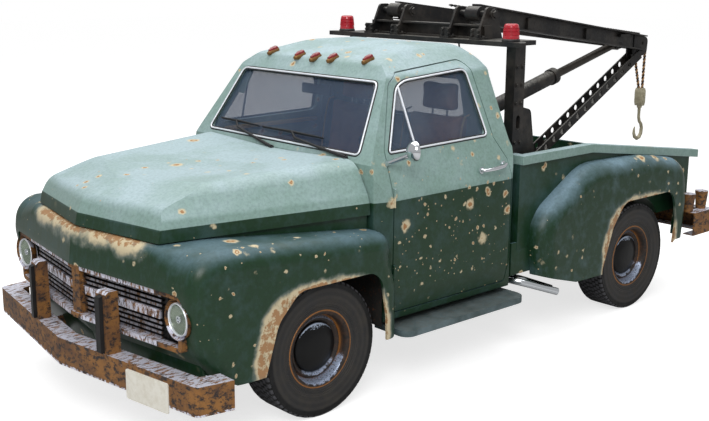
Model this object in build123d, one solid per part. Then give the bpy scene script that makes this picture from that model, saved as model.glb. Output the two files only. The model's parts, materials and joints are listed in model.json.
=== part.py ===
from build123d import *
import math
import os

# A step-side pickup wrecker, in millimetres: +X to its left, +Y rearwards, +Z up, standing on z = 0.
# Stations along Y are written from the front axle, and the finished model is moved so that the
# middle of its length lies at y = 0.

# ---- wheels and axles
WHEELBASE = 2794.0
TYRE_R = 365.0
TYRE_W = 215.0
WHEEL_X = 775.0            # middle of each wheel
RIM_SEAT_R = 190.0         # where the tyre's bead sits
RIM_FLANGE_R = 212.0
RIM_W = 184.0
RIM_WALL = 10.0
CAP_R = 135.0
CAP_DOME = 38.0
HUB_R = 48.0
SPINDLE_R = 20.0
RUNNING_FIT = 0.05         # radial play of a hub on its spindle
SEAT_GAP = 0.3             # play left where curved faces of two pieces meet
SWING_GAP = 6.0            # air round a piece that moves
KINGPIN_X = 650.0
KINGPIN_R = 14.0
STEER_ARM = 150.0          # from the kingpin back to the tie rod

# ---- frame
RAIL_X = 380.0             # inner face of each rail
RAIL_W = 60.0
RAIL_Z = 470.0
RAIL_H = 140.0
RAIL_WEB = 8.0
RAIL_FRONT = -760.0
RAIL_REAR = 3500.0
CROSS_H = 80.0
CROSS_STATIONS = (-640.0, 860.0, 1700.0, 2400.0, 3460.0)
AXLE_Z = TYRE_R

# ---- front end
V_SLOPE = 0.135            # how far the nose falls back for each unit outwards
NOSE_Y = -951.0            # nose at the middle, above the grille opening
NOSE_IN = 620.0            # seam between nose panel and fender
OPEN_TOP = (854.0, 812.0)
OPEN_BOTTOM = (830.0, 525.0)
VALANCE_BOTTOM = 402.0
LIP_Z = 1010.0             # lower edge of the hood's side flange
TWO_TONE_Z = 1073.0        # where the light upper colour starts
SKIN = 14.0                # fender, nose and hood panel with its inner flange
HOOD_FRONT_Y = -905.0
HOOD_V = 0.178
HOOD_FRONT_HALF = 612.0
HOOD_REAR_HALF = 815.0
HOOD_REAR_Y = 384.0
HOOD_LUG_X = 420.0         # hinge lug under the hood's rear edge
HOOD_REAR_Z = 1268.0       # hood at the middle of its rear edge
HOOD_SHOULDER_RISE = 22.0  # how far the hood's shoulders stand above its middle
FENDER_X = 950.0
FENDER_TOP_FRONT = 1003.0
FENDER_TOP_REAR = 928.0
FENDER_ROUND = 92.0
APRON_X = 455.0
APRON_T = 10.0

# ---- bumpers
BUMPER_Y = -1032.0
BUMPER_V = 0.15
BUMPER_HALF = 1028.0
BUMPER_Z = 290.0
BUMPER_H = 146.0
BUMPER_DEPTH = 100.0
BUMPER_PLATE = 8.0
BUMPER_END_Y = -690.0
GUARD_X = 360.0
GUARD_W = 78.0
GUARD_Z = (420.0, 755.0)
PLATE_SIZE = (305.0, 152.0)

# ---- cab
WALL = 45.0
CAB_FRONT = 392.0
TOE_Y = 470.0
CAB_REAR = 1545.0
CAB_HALF = 872.0
SILL_Z = 395.0
BELT_Z = 1262.0
ROOF_Z = 1858.0
ROOF_SPLIT_Z = 1700.0
ROOF_CROWN = 16.0          # how much flatter than its side view the roof is across
FLOOR_T = 26.0
GLASS_T = 5.0
GLASS_DEPTH = 14.0
DOOR_FRONT = 513.0
DOOR_REAR = 1478.0
DOOR_BOTTOM = 446.0
DOOR_INNER_X = 566.0
DOOR_GAP = 7.0
DOOR_BEVEL = 0.36          # the door's rear edge leans in by this for each unit of its thickness
HINGE_X = 877.5
HINGE_Y = 511.0
HINGE_R = 5.0
HINGE_L = 50.0
HINGE_SPANS = ((620.0, 670.0), (1040.0, 1090.0))   # the cab's half of each hinge, with the door's half on top
WS_BASE = (416.0, 1308.0)
WS_TOP = (634.0, 1677.0)
WS_HALF_BASE = 693.0
WS_HALF_TOP = 605.0

# ---- bed
BED_FRONT = 1605.0
BED_REAR = 3520.0
BED_HALF = 832.0
BED_WALL = 28.0
BED_FLOOR_T = 30.0
WELL_X = 636.0              # inner face of the wheelhouse over each rear tyre
WELL_R = 425.0
WELL_T = 6.0
DECK_X = (130.0, 600.0)     # wear plate on each side of the bed floor
DECK_Y = (2330.0, 3440.0)
DECK_T = 4.0
RAIL_TOP = 1190.0
RAIL_CAP_H = 56.0
RAIL_CAP_HALF = 855.0
RAIL_CAP_W = 62.0
RAIL_KNEE = 2310.0
RAIL_END = 3600.0
RAIL_END_Z = 1014.0
REAR_FENDER_X = 955.0
REAR_FENDER_ROUND = 108.0
TAILGATE_T = 32.0

# ---- wrecker gear
POST_X = 700.0
POST_W = 70.0
POST_D = 95.0
POST_Y = 1640.0
HEAD_Z = 1862.0            # top of the cross plate
HEAD_T = 28.0
HEAD_HALF = 850.0
HEAD_FRONT = 1550.0
HEAD_END_REAR = 1656.0      # the cross plate is this narrow outside its middle
HEAD_MIDDLE_HALF = 735.0
HEAD_REAR = 1830.0
BEACON_X = 725.0
BEACON_Y = 1604.0
PIVOT_Y = 1712.0
PIVOT_Z = 2012.0
EAR_X = (225.0, 470.0)     # inner and outer bracket plates of each pair
EAR_T = 16.0
PIN_R = 20.0
LEG_X = (EAR_X[0] + EAR_X[1]) / 2
BOOM_TIP_Y = 4085.0
BOOM_TIP_Z = 1712.0
LEG_DEPTH = 118.0
LEG_W = 62.0
LEG_PLATE = 9.0
SHEAVE_R = 62.0
RAM_FOOT = (1868.0, 1222.0)
RAM_EYE = (3740.0, 1716.0)
RAM_R = 52.0
RAM_ROD_R = 30.0
RAM_BARREL_L = 1170.0
RAM_PIN_R = 16.0
EYE_PLAY = 12.5            # room in the rod's eye for the drift of its straight-line coupling

# ---- outlines and places of the pieces
BEAM_TOP = 325.0
BEAM_H = 62.0
BOSS_H = 84.0
FRONT_SPRING_REACH = 500.0
REAR_SPRING_REACH = 640.0
GEARBOX_REAR = 750.0
PROP_FRONT = (GEARBOX_REAR + 2, 462.0)
PROP_REAR = (WHEELBASE - 184.0, 372.0)
MOUNT_Y = -240.0
PIPE_R = 23.0
DISC_X = 20.0
DISC_T = 12.0
HUB_X = (-72.0, 40.0)
CAP_X = 34.0
SPINDLE_END = 38.0         # how far past the wheel's middle the bore for the spindle reaches
ARCH = [(-470, 150, 0), (-424, 330, 0), (-338, 600, 160), (-205, 738, 120), (345, 738, 110), (392, 480, 150),
        (400, 150, 0)]
CAB_SIDE = [
    (TOE_Y, SILL_Z, 0), (CAB_REAR, SILL_Z, 15), (CAB_REAR, 1240, 30), (1520, 1300, 150), (1484, 1660, 100),
    (1490, 1765, 60), (1425, 1846, 110), (1080, ROOF_Z, 900), (706, 1774, 55), (640, 1690, 0), (CAB_FRONT,
                                                                                                1270, 0),
    (CAB_FRONT, 860, 0), (TOE_Y, 780, 0),
]
CAB_SECTION = [
    (0, SILL_Z, 0), (838, SILL_Z, 15), (868, 560, 200), (CAB_HALF, 1090, 130), (815, BELT_Z, 60), (798,
                                                                                                   1316, 0),
    (652, 1708, 60), (440, 1846, 190), (0, ROOF_Z, 0),
]
CAB_PLAN = [(0, CAB_FRONT, 0), (836, CAB_FRONT, 10), (CAB_HALF, 500, 90), (CAB_HALF, CAB_REAR, 85),
            (0, CAB_REAR, 0)]
WINDOW = [(541, 1322, 14), (702, 1652, 60), (778, 1682, 30), (1284, 1716, 45), (1338, 1338, 40)]
DOOR = [
    (DOOR_FRONT, DOOR_BOTTOM, 25), (DOOR_REAR, DOOR_BOTTOM, 25), (DOOR_REAR, 1190, 60), (1388, 1320, 120),
    (1330, 1762, 40), (742, 1722, 60), (655, 1668, 60), (DOOR_FRONT, 1335, 30),
]
BACK_WINDOW = [(500, 1362), (470, 1640)]
COLUMN_TILT = 38.0
WHEEL_CENTRE = (380.0, 935.0, 1195.0)
STEER_WHEEL_R = 195.0
SEAT_X = 370.0
SEAT_W = 500.0
BOARD_Z = (325.0, 360.0)
BOARD_Y = (525.0, 1560.0)
REAR_ARCH = [(2318, 150, 0), (2345, 380, 60), (2440, 640, 160), (2560, 790, 120), (3140, 790, 110),
             (3196, 560, 120),
             (3130, 150, 0)]
TAILGATE_TOP = 955.0
TAILGATE_LOW = RAIL_Z + RAIL_H + BED_FLOOR_T + 2 * SWING_GAP
TAILGATE_AXIS = (BED_REAR - TAILGATE_T / 2, TAILGATE_LOW + 20)
TAILGATE_PIN_R = 9.0
TAIL_BUMPER_Y = (3585.0, 3672.0)
TAIL_BUMPER_Z = (424.0, 590.0)
TAIL_BUMPER_HALF = 975.0
HITCH_R = 16.0
HITCH_T = 20.0
GRILLE_Y = -905.0
GRILLE_BARS = ((540, 560), (572, 584), (597, 609), (622, 634), (652, 696), (708, 720), (733, 745), (758, 770))
LAMP = (795.0, 687.0)
LAMP_R = 92.0
LAMP_FRONT = -835.0
LAMP_BEAD = 9.0
ROOF_LAMPS = ((0, 700), (150, 704), (430, 722))
REST_TOP = (4040.0, 1628.0)
REST_FOOT = (2262.0, 672.0)
REST_W = 96.0
REST_D = 70.0
REST_HOLE_R = 21.0
REST_PIN_R = 14.0
REST_PITCH = 104.0
ROPE_R = 6.0


def inset(corners, depth):
    """Corners (a, b, radius) of a convex-or-not outline, moved inwards by depth."""
    count = len(corners)
    area = sum(
        corners[i][0] * corners[(i + 1) % count][1] - corners[(i + 1) % count][0] * corners[i][1]
        for i in range(count)
    )
    side = 1.0 if area > 0 else -1.0
    moved = []
    for i, (a, b, radius) in enumerate(corners):
        before = corners[i - 1]
        after = corners[(i + 1) % count]
        into = (a - before[0], b - before[1])
        out = (after[0] - a, after[1] - b)
        into = (into[0] / math.hypot(*into), into[1] / math.hypot(*into))
        out = (out[0] / math.hypot(*out), out[1] / math.hypot(*out))
        turn = side * (into[0] * out[1] - into[1] * out[0])
        normal_in = (-side * into[1], side * into[0])
        normal_out = (-side * out[1], side * out[0])
        spread = 1.0 + normal_in[0] * normal_out[0] + normal_in[1] * normal_out[1]
        shift = ((normal_in[0] + normal_out[0]) / spread, (normal_in[1] + normal_out[1]) / spread)
        new_radius = 0.0 if radius == 0 else max(radius - depth if turn > 0 else radius + depth, 0.0)
        moved.append((a + depth * shift[0], b + depth * shift[1], new_radius))
    return moved


def mirrored(corners):
    """A right-half outline, listed from the middle line round to the middle line, made whole."""
    return corners + [(-a, b, radius) for a, b, radius in reversed(corners)]


def face_on(plane, corners):
    points = [(a, b) for a, b, radius in corners]
    radii = [radius for a, b, radius in corners]
    if max(radii) == 0:
        line = Polyline(*points, close=True)
    else:
        line = FilletPolyline(*points, radius=radii, close=True)
    return plane * make_face(line)


def side_plane(x):
    return Plane(origin=(x, 0, 0), x_dir=(0, 1, 0), z_dir=(1, 0, 0))


def front_plane(y):
    return Plane(origin=(0, y, 0), x_dir=(1, 0, 0), z_dir=(0, -1, 0))


def plan_plane(z):
    return Plane(origin=(0, 0, z), x_dir=(1, 0, 0), z_dir=(0, 0, 1))


def side_prism(corners, x_from, x_to, lean=0.0):
    """A (y, z) outline run from one x to another, falling back by lean for each unit of x."""
    run = Vector(x_to - x_from, (x_to - x_from) * lean, 0)
    return extrude(face_on(side_plane(x_from), corners), amount=run.length, dir=run.normalized())


def front_prism(corners, y_from, y_to):
    return extrude(face_on(front_plane(y_from), corners), amount=y_to - y_from, dir=(0, 1, 0))


def plan_prism(corners, z_from, z_to):
    return extrude(face_on(plan_plane(z_from), corners), amount=z_to - z_from, dir=(0, 0, 1))


def block(x, y, z):
    """A box from its (low, high) pairs."""
    box = Box(x[1] - x[0], y[1] - y[0], z[1] - z[0])
    return Pos((x[0] + x[1]) / 2, (y[0] + y[1]) / 2, (z[0] + z[1]) / 2) * box


def rod(start, end, radius):
    """A round bar between two points."""
    run = Vector(*end) - Vector(*start)
    return extrude(Plane(origin=start, z_dir=run) * Circle(radius), amount=run.length)


def tube_path(points, radii, radius, bore=0.0):
    path = FilletPolyline(*points, radius=radii)
    start = Plane(origin=path @ 0, z_dir=path % 0)
    ring = start * Circle(radius)
    if bore:
        ring -= start * Circle(bore)
    return sweep(ring, path=path)


def both_sides(solid):
    """The solid and its mirror image across the middle, as one set of solids."""
    return Compound(children=[*solid.solids(), *mirror(solid, about=Plane.YZ).solids()])


def whole(solid):
    """The solid fused with its mirror image across the middle."""
    return solid + mirror(solid, about=Plane.YZ)


# ---------------------------------------------------------------- frame and running gear
def make_frame():
    web = block((RAIL_X + RAIL_W - RAIL_WEB, RAIL_X + RAIL_W), (RAIL_FRONT, RAIL_REAR),
                (RAIL_Z, RAIL_Z + RAIL_H))
    low = block((RAIL_X, RAIL_X + RAIL_W), (RAIL_FRONT, RAIL_REAR), (RAIL_Z, RAIL_Z + RAIL_WEB))
    high = block((RAIL_X, RAIL_X + RAIL_W), (RAIL_FRONT, RAIL_REAR),
                 (RAIL_Z + RAIL_H - RAIL_WEB, RAIL_Z + RAIL_H))
    frame = whole(web + low + high)
    reach = RAIL_X + RAIL_W - RAIL_WEB
    for station in CROSS_STATIONS:
        top = RAIL_Z + RAIL_H
        bar = block((-reach, reach), (station - 30, station + 30), (top - CROSS_H, top - RAIL_WEB))
        bar -= block((-RAIL_X + 10, RAIL_X - 10), (station - 22, station + 22),
                     (top - CROSS_H, top - 2 * RAIL_WEB))
        frame += bar
    return frame


def make_front_axle():
    beam = block((-520, 520), (-28, 28), (BEAM_TOP - BEAM_H, BEAM_TOP))
    beam -= both_sides(block((0, 520), (8, 28), (BEAM_TOP - BEAM_H + 12, BEAM_TOP - 12)))
    beam -= both_sides(block((0, 520), (-28, -8), (BEAM_TOP - BEAM_H + 12, BEAM_TOP - 12)))
    low, high = AXLE_Z - BOSS_H / 2, AXLE_Z + BOSS_H / 2
    rise = [(500, BEAM_TOP - BEAM_H, 0), (500, BEAM_TOP, 0), (KINGPIN_X - 50, high, 0), (KINGPIN_X, high, 0),
            (KINGPIN_X, low, 0), (KINGPIN_X - 56, low, 0)]
    arm = front_prism(rise, -24, 24)
    boss = Pos(KINGPIN_X, 0, AXLE_Z) * Cylinder(30, BOSS_H)
    pin = Pos(KINGPIN_X, 0, AXLE_Z) * Cylinder(KINGPIN_R, BOSS_H + 2 * 42)
    return beam + whole(arm + boss + pin)


def make_rear_axle():
    tube = Pos(0, WHEELBASE, AXLE_Z) * Rot(0, 90, 0) * Cylinder(42, 2 * (WHEEL_X - 95))
    spindle = Pos(0, WHEELBASE, AXLE_Z) * Rot(0, 90, 0) * Cylinder(SPINDLE_R, 2 * (WHEEL_X + SPINDLE_END - 6))
    bowl = Pos(0, WHEELBASE, AXLE_Z) * Rot(0, 90, 0) * Cylinder(135, 120)
    bowl = fillet(bowl.edges().filter_by(GeomType.CIRCLE), 40)
    nose = rod((0, WHEELBASE, AXLE_Z), (0, PROP_REAR[0], PROP_REAR[1]), 52)
    return tube + spindle + bowl + nose


def leaf_spring(station, reach, seat, thick, end_low):
    """One leaf pack on its axle, bowed up to hangers under the rail."""
    x = (RAIL_X + 6, RAIL_X + RAIL_W - 6)
    low = ThreePointArc((station - reach, end_low), (station, seat), (station + reach, end_low))
    high = ThreePointArc((station - reach, end_low + 22), (station, seat + thick),
                         (station + reach, end_low + 22))
    outline = [low, high, Line(low @ 0, high @ 0), Line(low @ 1, high @ 1)]
    pack = extrude(side_plane(x[0]) * make_face(outline), amount=x[1] - x[0], dir=(1, 0, 0))
    for end in (station - reach + 14, station + reach - 14):
        pack += block(x, (end - 14, end + 14), (end_low + 8, RAIL_Z))
    return pack


def make_leaf_springs():
    front = leaf_spring(0, FRONT_SPRING_REACH, BEAM_TOP, 40, 412)
    rear = leaf_spring(WHEELBASE, REAR_SPRING_REACH, AXLE_Z + 42 + SEAT_GAP, 34, 424)
    return Compound(children=[*both_sides(front).solids(), *both_sides(rear).solids()])


def make_engine_block():
    engine = block((-240, 240), (-520, 120), (400, 930))
    gearbox = block((-140, 140), (120, GEARBOX_REAR), (385, 578))
    reach = RAIL_X + RAIL_W - RAIL_WEB
    mounts = block((-reach, reach), (MOUNT_Y, MOUNT_Y + 90), (490, 560))
    return engine + gearbox + mounts


def make_propshaft():
    return rod((0, *PROP_FRONT), (0, PROP_REAR[0] - 3, PROP_REAR[1]), 34)


def make_exhaust():
    left = tube_path([(500, 560, 425), (500, 1560, 425), (790, 1690, 400), (885, 1892, 318)], [90, 120],
                     PIPE_R, PIPE_R - 3)
    right = tube_path([(568, 560, 425), (568, 1535, 425), (858, 1640, 400), (952, 1868, 318)], [90, 120],
                      PIPE_R, PIPE_R - 3)
    box = Pos(536, 900, 425) * Box(158, 420, 100)
    box = fillet(box.edges().filter_by(Axis.Y), 40)
    for x in (500, 568):
        box -= rod((x, 500, 425), (x, 1400, 425), PIPE_R - 1)
    hanger = block((RAIL_X + RAIL_W, 470), (870, 930), (440, 520))
    return left + right + box + hanger


def make_fuel_tank():
    tank = block((8 - RAIL_X, RAIL_X - 8), (WHEELBASE + 166, RAIL_REAR - 28),
                 (400, RAIL_Z + RAIL_H - CROSS_H))
    return fillet(tank.edges().filter_by(Axis.X), 30)


def make_radiator():
    panel = block((-APRON_X, APRON_X), (-702, -684), (RAIL_Z + RAIL_H, 950))
    core = block((-270, 270), (-735, -655), (RAIL_Z + RAIL_H, 930))
    return panel + core


# ---------------------------------------------------------------- wheels
def ring_of(corners):
    """A closed (x, radius) outline turned about the wheel's own axis, which is X."""
    return revolve(face_on(Plane.XY, corners), axis=Axis.X)


def make_tyre():
    half = TYRE_W / 2
    inner = RIM_SEAT_R + SEAT_GAP
    bead = RIM_W / 2 - RIM_WALL - SEAT_GAP
    right = [(bead, inner, 0), (bead, RIM_FLANGE_R + 6, 6), (half, RIM_FLANGE_R + 62, 40),
             (half - 6, TYRE_R - 22, 16),
             (half - 28, TYRE_R, 10)]
    outline = right + [(-x, r, k) for x, r, k in reversed(right)]
    return ring_of(outline)


def make_hub_cap():
    base = CAP_X - 12
    round_r = (CAP_R ** 2 + CAP_DOME ** 2) / (2 * CAP_DOME)
    mid_r = CAP_R / 2
    mid_x = CAP_X + CAP_DOME - round_r + math.sqrt(round_r ** 2 - mid_r ** 2)
    dome = ThreePointArc((CAP_X, CAP_R), (mid_x, mid_r), (CAP_X + CAP_DOME, 0))
    outline = [Line((base, 0), (base, CAP_R)), Line((base, CAP_R), (CAP_X, CAP_R)), dome,
               Line((CAP_X + CAP_DOME, 0), (base, 0))]
    return revolve(make_face(outline), axis=Axis.X)


def make_wheel():
    half = RIM_W / 2
    seat = RIM_SEAT_R
    inner = seat - RIM_WALL
    rim = [(-half, RIM_FLANGE_R, 4), (-half + RIM_WALL, RIM_FLANGE_R, 4), (-half + RIM_WALL, seat, 0),
           (half - RIM_WALL, seat, 0), (half - RIM_WALL, RIM_FLANGE_R, 4), (half, RIM_FLANGE_R, 4),
           (half, inner, 4), (-half, inner, 4)]
    wheel = ring_of(rim)
    disc = [(DISC_X, HUB_R - 4, 0), (DISC_X, CAP_R + 8, 10), (DISC_X + 22, CAP_R + 26, 10),
            (DISC_X - 4, inner + 3, 0),
            (DISC_X - 4 + DISC_T, inner + 3, 0), (DISC_X + 22 + DISC_T, CAP_R + 30, 10),
            (DISC_X + DISC_T + 2, CAP_R + 4, 8), (DISC_X + DISC_T + 2, HUB_R - 4, 0)]
    wheel += ring_of(disc)
    wheel += Pos((HUB_X[0] + HUB_X[1]) / 2, 0, 0) * Rot(0, 90, 0) * Cylinder(HUB_R, HUB_X[1] - HUB_X[0])
    wheel += make_hub_cap()
    bore_end = HUB_X[0] - 1
    bore = Pos((bore_end + SPINDLE_END) / 2, 0, 0) * Rot(0, 90, 0) * Cylinder(SPINDLE_R + RUNNING_FIT,
                                                                              SPINDLE_END - bore_end)
    return wheel - bore


def placed_wheel(piece, side, station):
    """A wheel piece, made with its outer face to +X, put at one corner."""
    turned = piece if side > 0 else mirror(piece, about=Plane.YZ)
    return Pos(side * WHEEL_X, station, AXLE_Z) * turned


def make_knuckle(side):
    ear_z = BOSS_H / 2 + 1
    fork = block((KINGPIN_X - 28, KINGPIN_X + 46), (-30, 30), (AXLE_Z + ear_z, AXLE_Z + ear_z + 30))
    fork += block((KINGPIN_X - 28, KINGPIN_X + 46), (-30, 30), (AXLE_Z - ear_z - 30, AXLE_Z - ear_z))
    fork += block((KINGPIN_X + 32, KINGPIN_X + 46), (-30, 30), (AXLE_Z - ear_z - 30, AXLE_Z + ear_z + 30))
    start = KINGPIN_X + 40
    end = WHEEL_X + SPINDLE_END - 6
    spindle = Pos((start + end) / 2, 0, AXLE_Z) * Rot(0, 90, 0) * Cylinder(SPINDLE_R, end - start)
    arm_z = AXLE_Z - ear_z - 30
    arm = block((KINGPIN_X - 24, KINGPIN_X + 20), (0, STEER_ARM), (arm_z, arm_z + 22))
    arm = arm + Pos(KINGPIN_X - 2, STEER_ARM, arm_z + 11) * Cylinder(22, 22)
    solid = fork + spindle + arm
    solid -= Pos(KINGPIN_X, 0, AXLE_Z) * Cylinder(KINGPIN_R + RUNNING_FIT, 400)
    return solid if side > 0 else mirror(solid, about=Plane.YZ)


def tie_rod_z():
    return AXLE_Z - BOSS_H / 2 - 31 - 16 - 0.5


def make_tie_rod():
    z = tie_rod_z()
    reach = KINGPIN_X - 2
    bar = rod((-reach, STEER_ARM, z), (reach, STEER_ARM, z), 14)
    ends = whole(Pos(reach, STEER_ARM, z) * Cylinder(21, 30))
    return bar + ends


# ---------------------------------------------------------------- front clip
def clip_outline(x, corner, depth=0.0):
    """The (y, z) outline of nose and fender at a station x outwards, as a closed shape."""
    front = NOSE_Y + V_SLOPE * x
    corners = [
        (front + 172, 330, 220), (front + 52, 525, 250), (front, 812, 200), (front + 22, FENDER_TOP_FRONT,
                                                                             corner),
        (-560, FENDER_TOP_FRONT, 900), (466, FENDER_TOP_REAR, 95), (446, 795, 110), (503, 620, 130), (498,
                                                                                                      200, 0),
        (-470, 200, 0),
    ]
    return inset(corners, depth) if depth else corners


def clip_form(depth):
    """Everything between the hood line and the ground that nose and fender enclose, on the left."""
    at = [(0, 60), (NOSE_IN, 60), (800, 150), (FENDER_X - depth, 150)]
    faces = [face_on(side_plane(x), clip_outline(x, corner, depth)) for x, corner in at]
    inner = loft([faces[0], faces[1]], ruled=True)
    middle = loft([faces[1], faces[2]], ruled=True)
    outer = loft([faces[2], faces[3]], ruled=True)
    rim = [e for e in outer.faces().sort_by(Axis.X)[-1].edges() if e.center().Z > 230]
    outer = fillet(rim, FENDER_ROUND - depth)
    return inner, middle + outer


def make_front_clip():
    nose_out, fender_out = clip_form(0.0)
    nose_in, fender_in = clip_form(SKIN)
    opening = front_prism(whole_outline([(0, OPEN_BOTTOM[1], 0), (*OPEN_BOTTOM, 30), (*OPEN_TOP, 45),
                                         (0, OPEN_TOP[1], 0)]), -1100, -560)
    below = block((-1100, 1100), (-1100, 560), (0, 345))
    front_below = side_prism([(-1100, 0, 0), (-560, 0, 0), (-560, VALANCE_BOTTOM - 70, 0),
                              (-700, VALANCE_BOTTOM, 0),
                              (-1100, VALANCE_BOTTOM, 0)], -1100, 1100)
    nose = nose_out - nose_in
    nose &= block((0, NOSE_IN), (-1100, -560), (VALANCE_BOTTOM, 1100))
    nose -= block((0, NOSE_IN), (-720, -500), (VALANCE_BOTTOM, LIP_Z))
    nose = whole(nose) - opening
    fender = fender_out - fender_in
    fender = fender & block((NOSE_IN, 1100), (-1100, 600), (0, 1100))
    fender -= side_prism(ARCH, 840, 1100)
    fender = fender - opening - below - front_below
    fender -= lamp_opening()
    shelf = block((APRON_X, NOSE_IN), (-560, 380), (FENDER_TOP_REAR - 10, FENDER_TOP_REAR))
    apron = block((APRON_X, APRON_X + APRON_T), (-720, 380), (RAIL_Z + RAIL_H, FENDER_TOP_REAR))
    inner_front = block((APRON_X, NOSE_IN + 40), (-720, -700), (RAIL_Z + RAIL_H, FENDER_TOP_REAR))
    fender = fender - block((0, HINGE_X), (380, 700), (0, 1200)) + apron + shelf + inner_front
    return nose, both_sides(fender)


# ---------------------------------------------------------------- hood
def hood_section(y, depth=0.0):
    """Half-width, middle height and shoulder of the hood at a station."""
    share = (y - HOOD_FRONT_Y) / (HOOD_REAR_Y - HOOD_FRONT_Y)
    half = HOOD_FRONT_HALF - 22 + share * (HOOD_REAR_HALF - HOOD_FRONT_HALF + 22)
    middle = 1210 + share * (HOOD_REAR_Z - 1210)
    top = TWO_TONE_Z
    right = [(0, middle, 0), (half * 0.20, middle + 2, 200), (half - 118, middle + HOOD_SHOULDER_RISE, 120),
             (half - 14, top + 40, 60), (half, top, 0), (half + 5, LIP_Z, 0)]
    corners = [*right, (0, LIP_Z, 0)]
    if depth:
        corners = inset(corners, depth)
        corners = [(0, corners[0][1], 0), *corners[1:-1], (0, corners[-1][1], 0)]
    return corners


def hood_form(depth):
    rear = HOOD_REAR_Y - (0 if depth == 0 else -40)
    front = HOOD_FRONT_Y - 120
    drop = 60 if depth else 0
    faces = []
    for y in (front, rear):
        corners = hood_section(y, depth)
        if drop:
            corners = [*corners[:-2], (corners[-2][0], LIP_Z - drop, 0), (0, LIP_Z - drop, 0)]
        faces.append(face_on(front_plane(y), corners))
    body = loft(faces, ruled=True)
    y0 = HOOD_FRONT_Y + depth
    roll = [(y0, LIP_Z - drop, 0), (y0 + 12, TWO_TONE_Z - 8, 0), (y0 + 55, 1158 - depth, 80),
            (-640, 1222 - depth, 300),
            (-100, 1400, 0), (rear + 50, 1400, 0), (rear + 50, LIP_Z - drop, 0)]
    return body & side_prism(roll, 0, 950, HOOD_V)


def make_hood():
    shell = hood_form(0.0) - hood_form(SKIN)
    lug = block((HOOD_LUG_X - 25, HOOD_LUG_X + 25), (HOOD_REAR_Y - 40, CAB_FRONT - SEAT_GAP),
                (1225, HOOD_REAR_Z + 2))
    return whole(shell + lug)


# ---------------------------------------------------------------- cab


def whole_outline(half):
    """A right-half outline whose first and last corners lie on the middle line, made whole."""
    return [*half[1:-1], *[(-a, b, radius) for a, b, radius in reversed(half[1:-1])]]


def cab_section(depth):
    corners = [*CAB_SECTION[1:-1], (0, ROOF_Z + ROOF_CROWN, 2600),
               *[(-a, b, r) for a, b, r in reversed(CAB_SECTION[1:-1])]]
    return inset(corners, depth) if depth else corners


def cab_form(depth):
    side = inset(CAB_SIDE, depth) if depth else CAB_SIDE
    plan = whole_outline(CAB_PLAN)
    plan = inset(plan, depth) if depth else plan
    solid = side_prism(side, -900, 900)
    solid &= front_prism(cab_section(depth), 300, 1700)
    return solid & plan_prism(plan, 300, 1950)


def windshield_plane():
    slope = math.hypot(WS_TOP[0] - WS_BASE[0], WS_TOP[1] - WS_BASE[1])
    normal = (0, -(WS_TOP[1] - WS_BASE[1]) / slope, (WS_TOP[0] - WS_BASE[0]) / slope)
    return Plane(origin=(0, *WS_BASE), x_dir=(1, 0, 0), z_dir=normal), slope


def windshield_outline(gap):
    plane, slope = windshield_plane()
    corners = [(-WS_HALF_BASE, 0, 45), (WS_HALF_BASE, 0, 45), (WS_HALF_TOP, slope, 45),
               (-WS_HALF_TOP, slope, 45)]
    return plane, inset(corners, gap) if gap else corners


def make_cab():
    shell = cab_form(0.0) - cab_form(WALL)
    cavity_floor = RAIL_Z + RAIL_H + FLOOR_T
    floor = block((-720, 720), (TOE_Y, CAB_REAR), (RAIL_Z + RAIL_H, cavity_floor)) & cab_form(0.0)
    sill = block((720, 1000), (TOE_Y, CAB_REAR), (SILL_Z, cavity_floor)) & cab_form(0.0)
    shell = shell - block((-720, 720), (0, 1700), (0, RAIL_Z + RAIL_H)) + floor + both_sides(sill)
    doorway = side_prism(inset(DOOR, -DOOR_GAP), DOOR_INNER_X - DOOR_GAP, 1000)
    doorway = doorway - jamb_wedge(DOOR_GAP) - cab_form(WALL + DOOR_GAP)
    shell = shell - doorway - mirror(doorway, about=Plane.YZ)
    barrels = None
    for low, high in HINGE_SPANS:
        piece = rod((HINGE_X, HINGE_Y, low), (HINGE_X, HINGE_Y, high), HINGE_R)
        piece += block((HINGE_X - 30, HINGE_X), (HINGE_Y - 30, HINGE_Y - 3), (low, high))
        barrels = piece if barrels is None else barrels + piece
    shell += both_sides(barrels)
    plane, outline = windshield_outline(0)
    shell -= extrude(face_on(plane, outline), amount=200, both=True)
    back = mirrored([(a, b, 50) for a, b in BACK_WINDOW])
    shell -= front_prism(back, 1400, 1600)
    split = block((-1000, 1000), (300, 1700), (ROOF_SPLIT_Z, 2000))
    return shell - split, shell & split


def jamb_wedge(gap):
    """What lies behind the door's rear edge, which leans in so that the door swings clear of its jamb."""
    start = 900.0
    skin = [(DOOR_REAR, 300, CAB_HALF), (DOOR_REAR, 1190, CAB_HALF - 8), (1388, 1320, 796), (1330, 1800, 560)]
    corners = [(y + gap + (start - x) * DOOR_BEVEL, z, 0) for y, z, x in skin]
    corners += [(1750, 1800, 0), (1750, 300, 0)]
    return side_prism(corners, start, 450, DOOR_BEVEL)


def make_door(side):
    shell = cab_form(0.0) - cab_form(WALL)
    door = shell & side_prism(DOOR, DOOR_INNER_X, 1000)
    door = door - side_prism(WINDOW, 300, 1000) - jamb_wedge(0)
    door -= front_prism(cab_section(WALL), DOOR_FRONT - 1, TOE_Y + WALL + 1)
    for low, high in HINGE_SPANS:
        door += rod((HINGE_X, HINGE_Y, high + SEAT_GAP), (HINGE_X, HINGE_Y, high + SEAT_GAP + HINGE_L),
                    HINGE_R)
        door += block((HINGE_X - 30, HINGE_X), (HINGE_Y + 3, DOOR_FRONT + 12),
                      (high + SEAT_GAP, high + SEAT_GAP + HINGE_L))
    return door if side > 0 else mirror(door, about=Plane.YZ)


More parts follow.
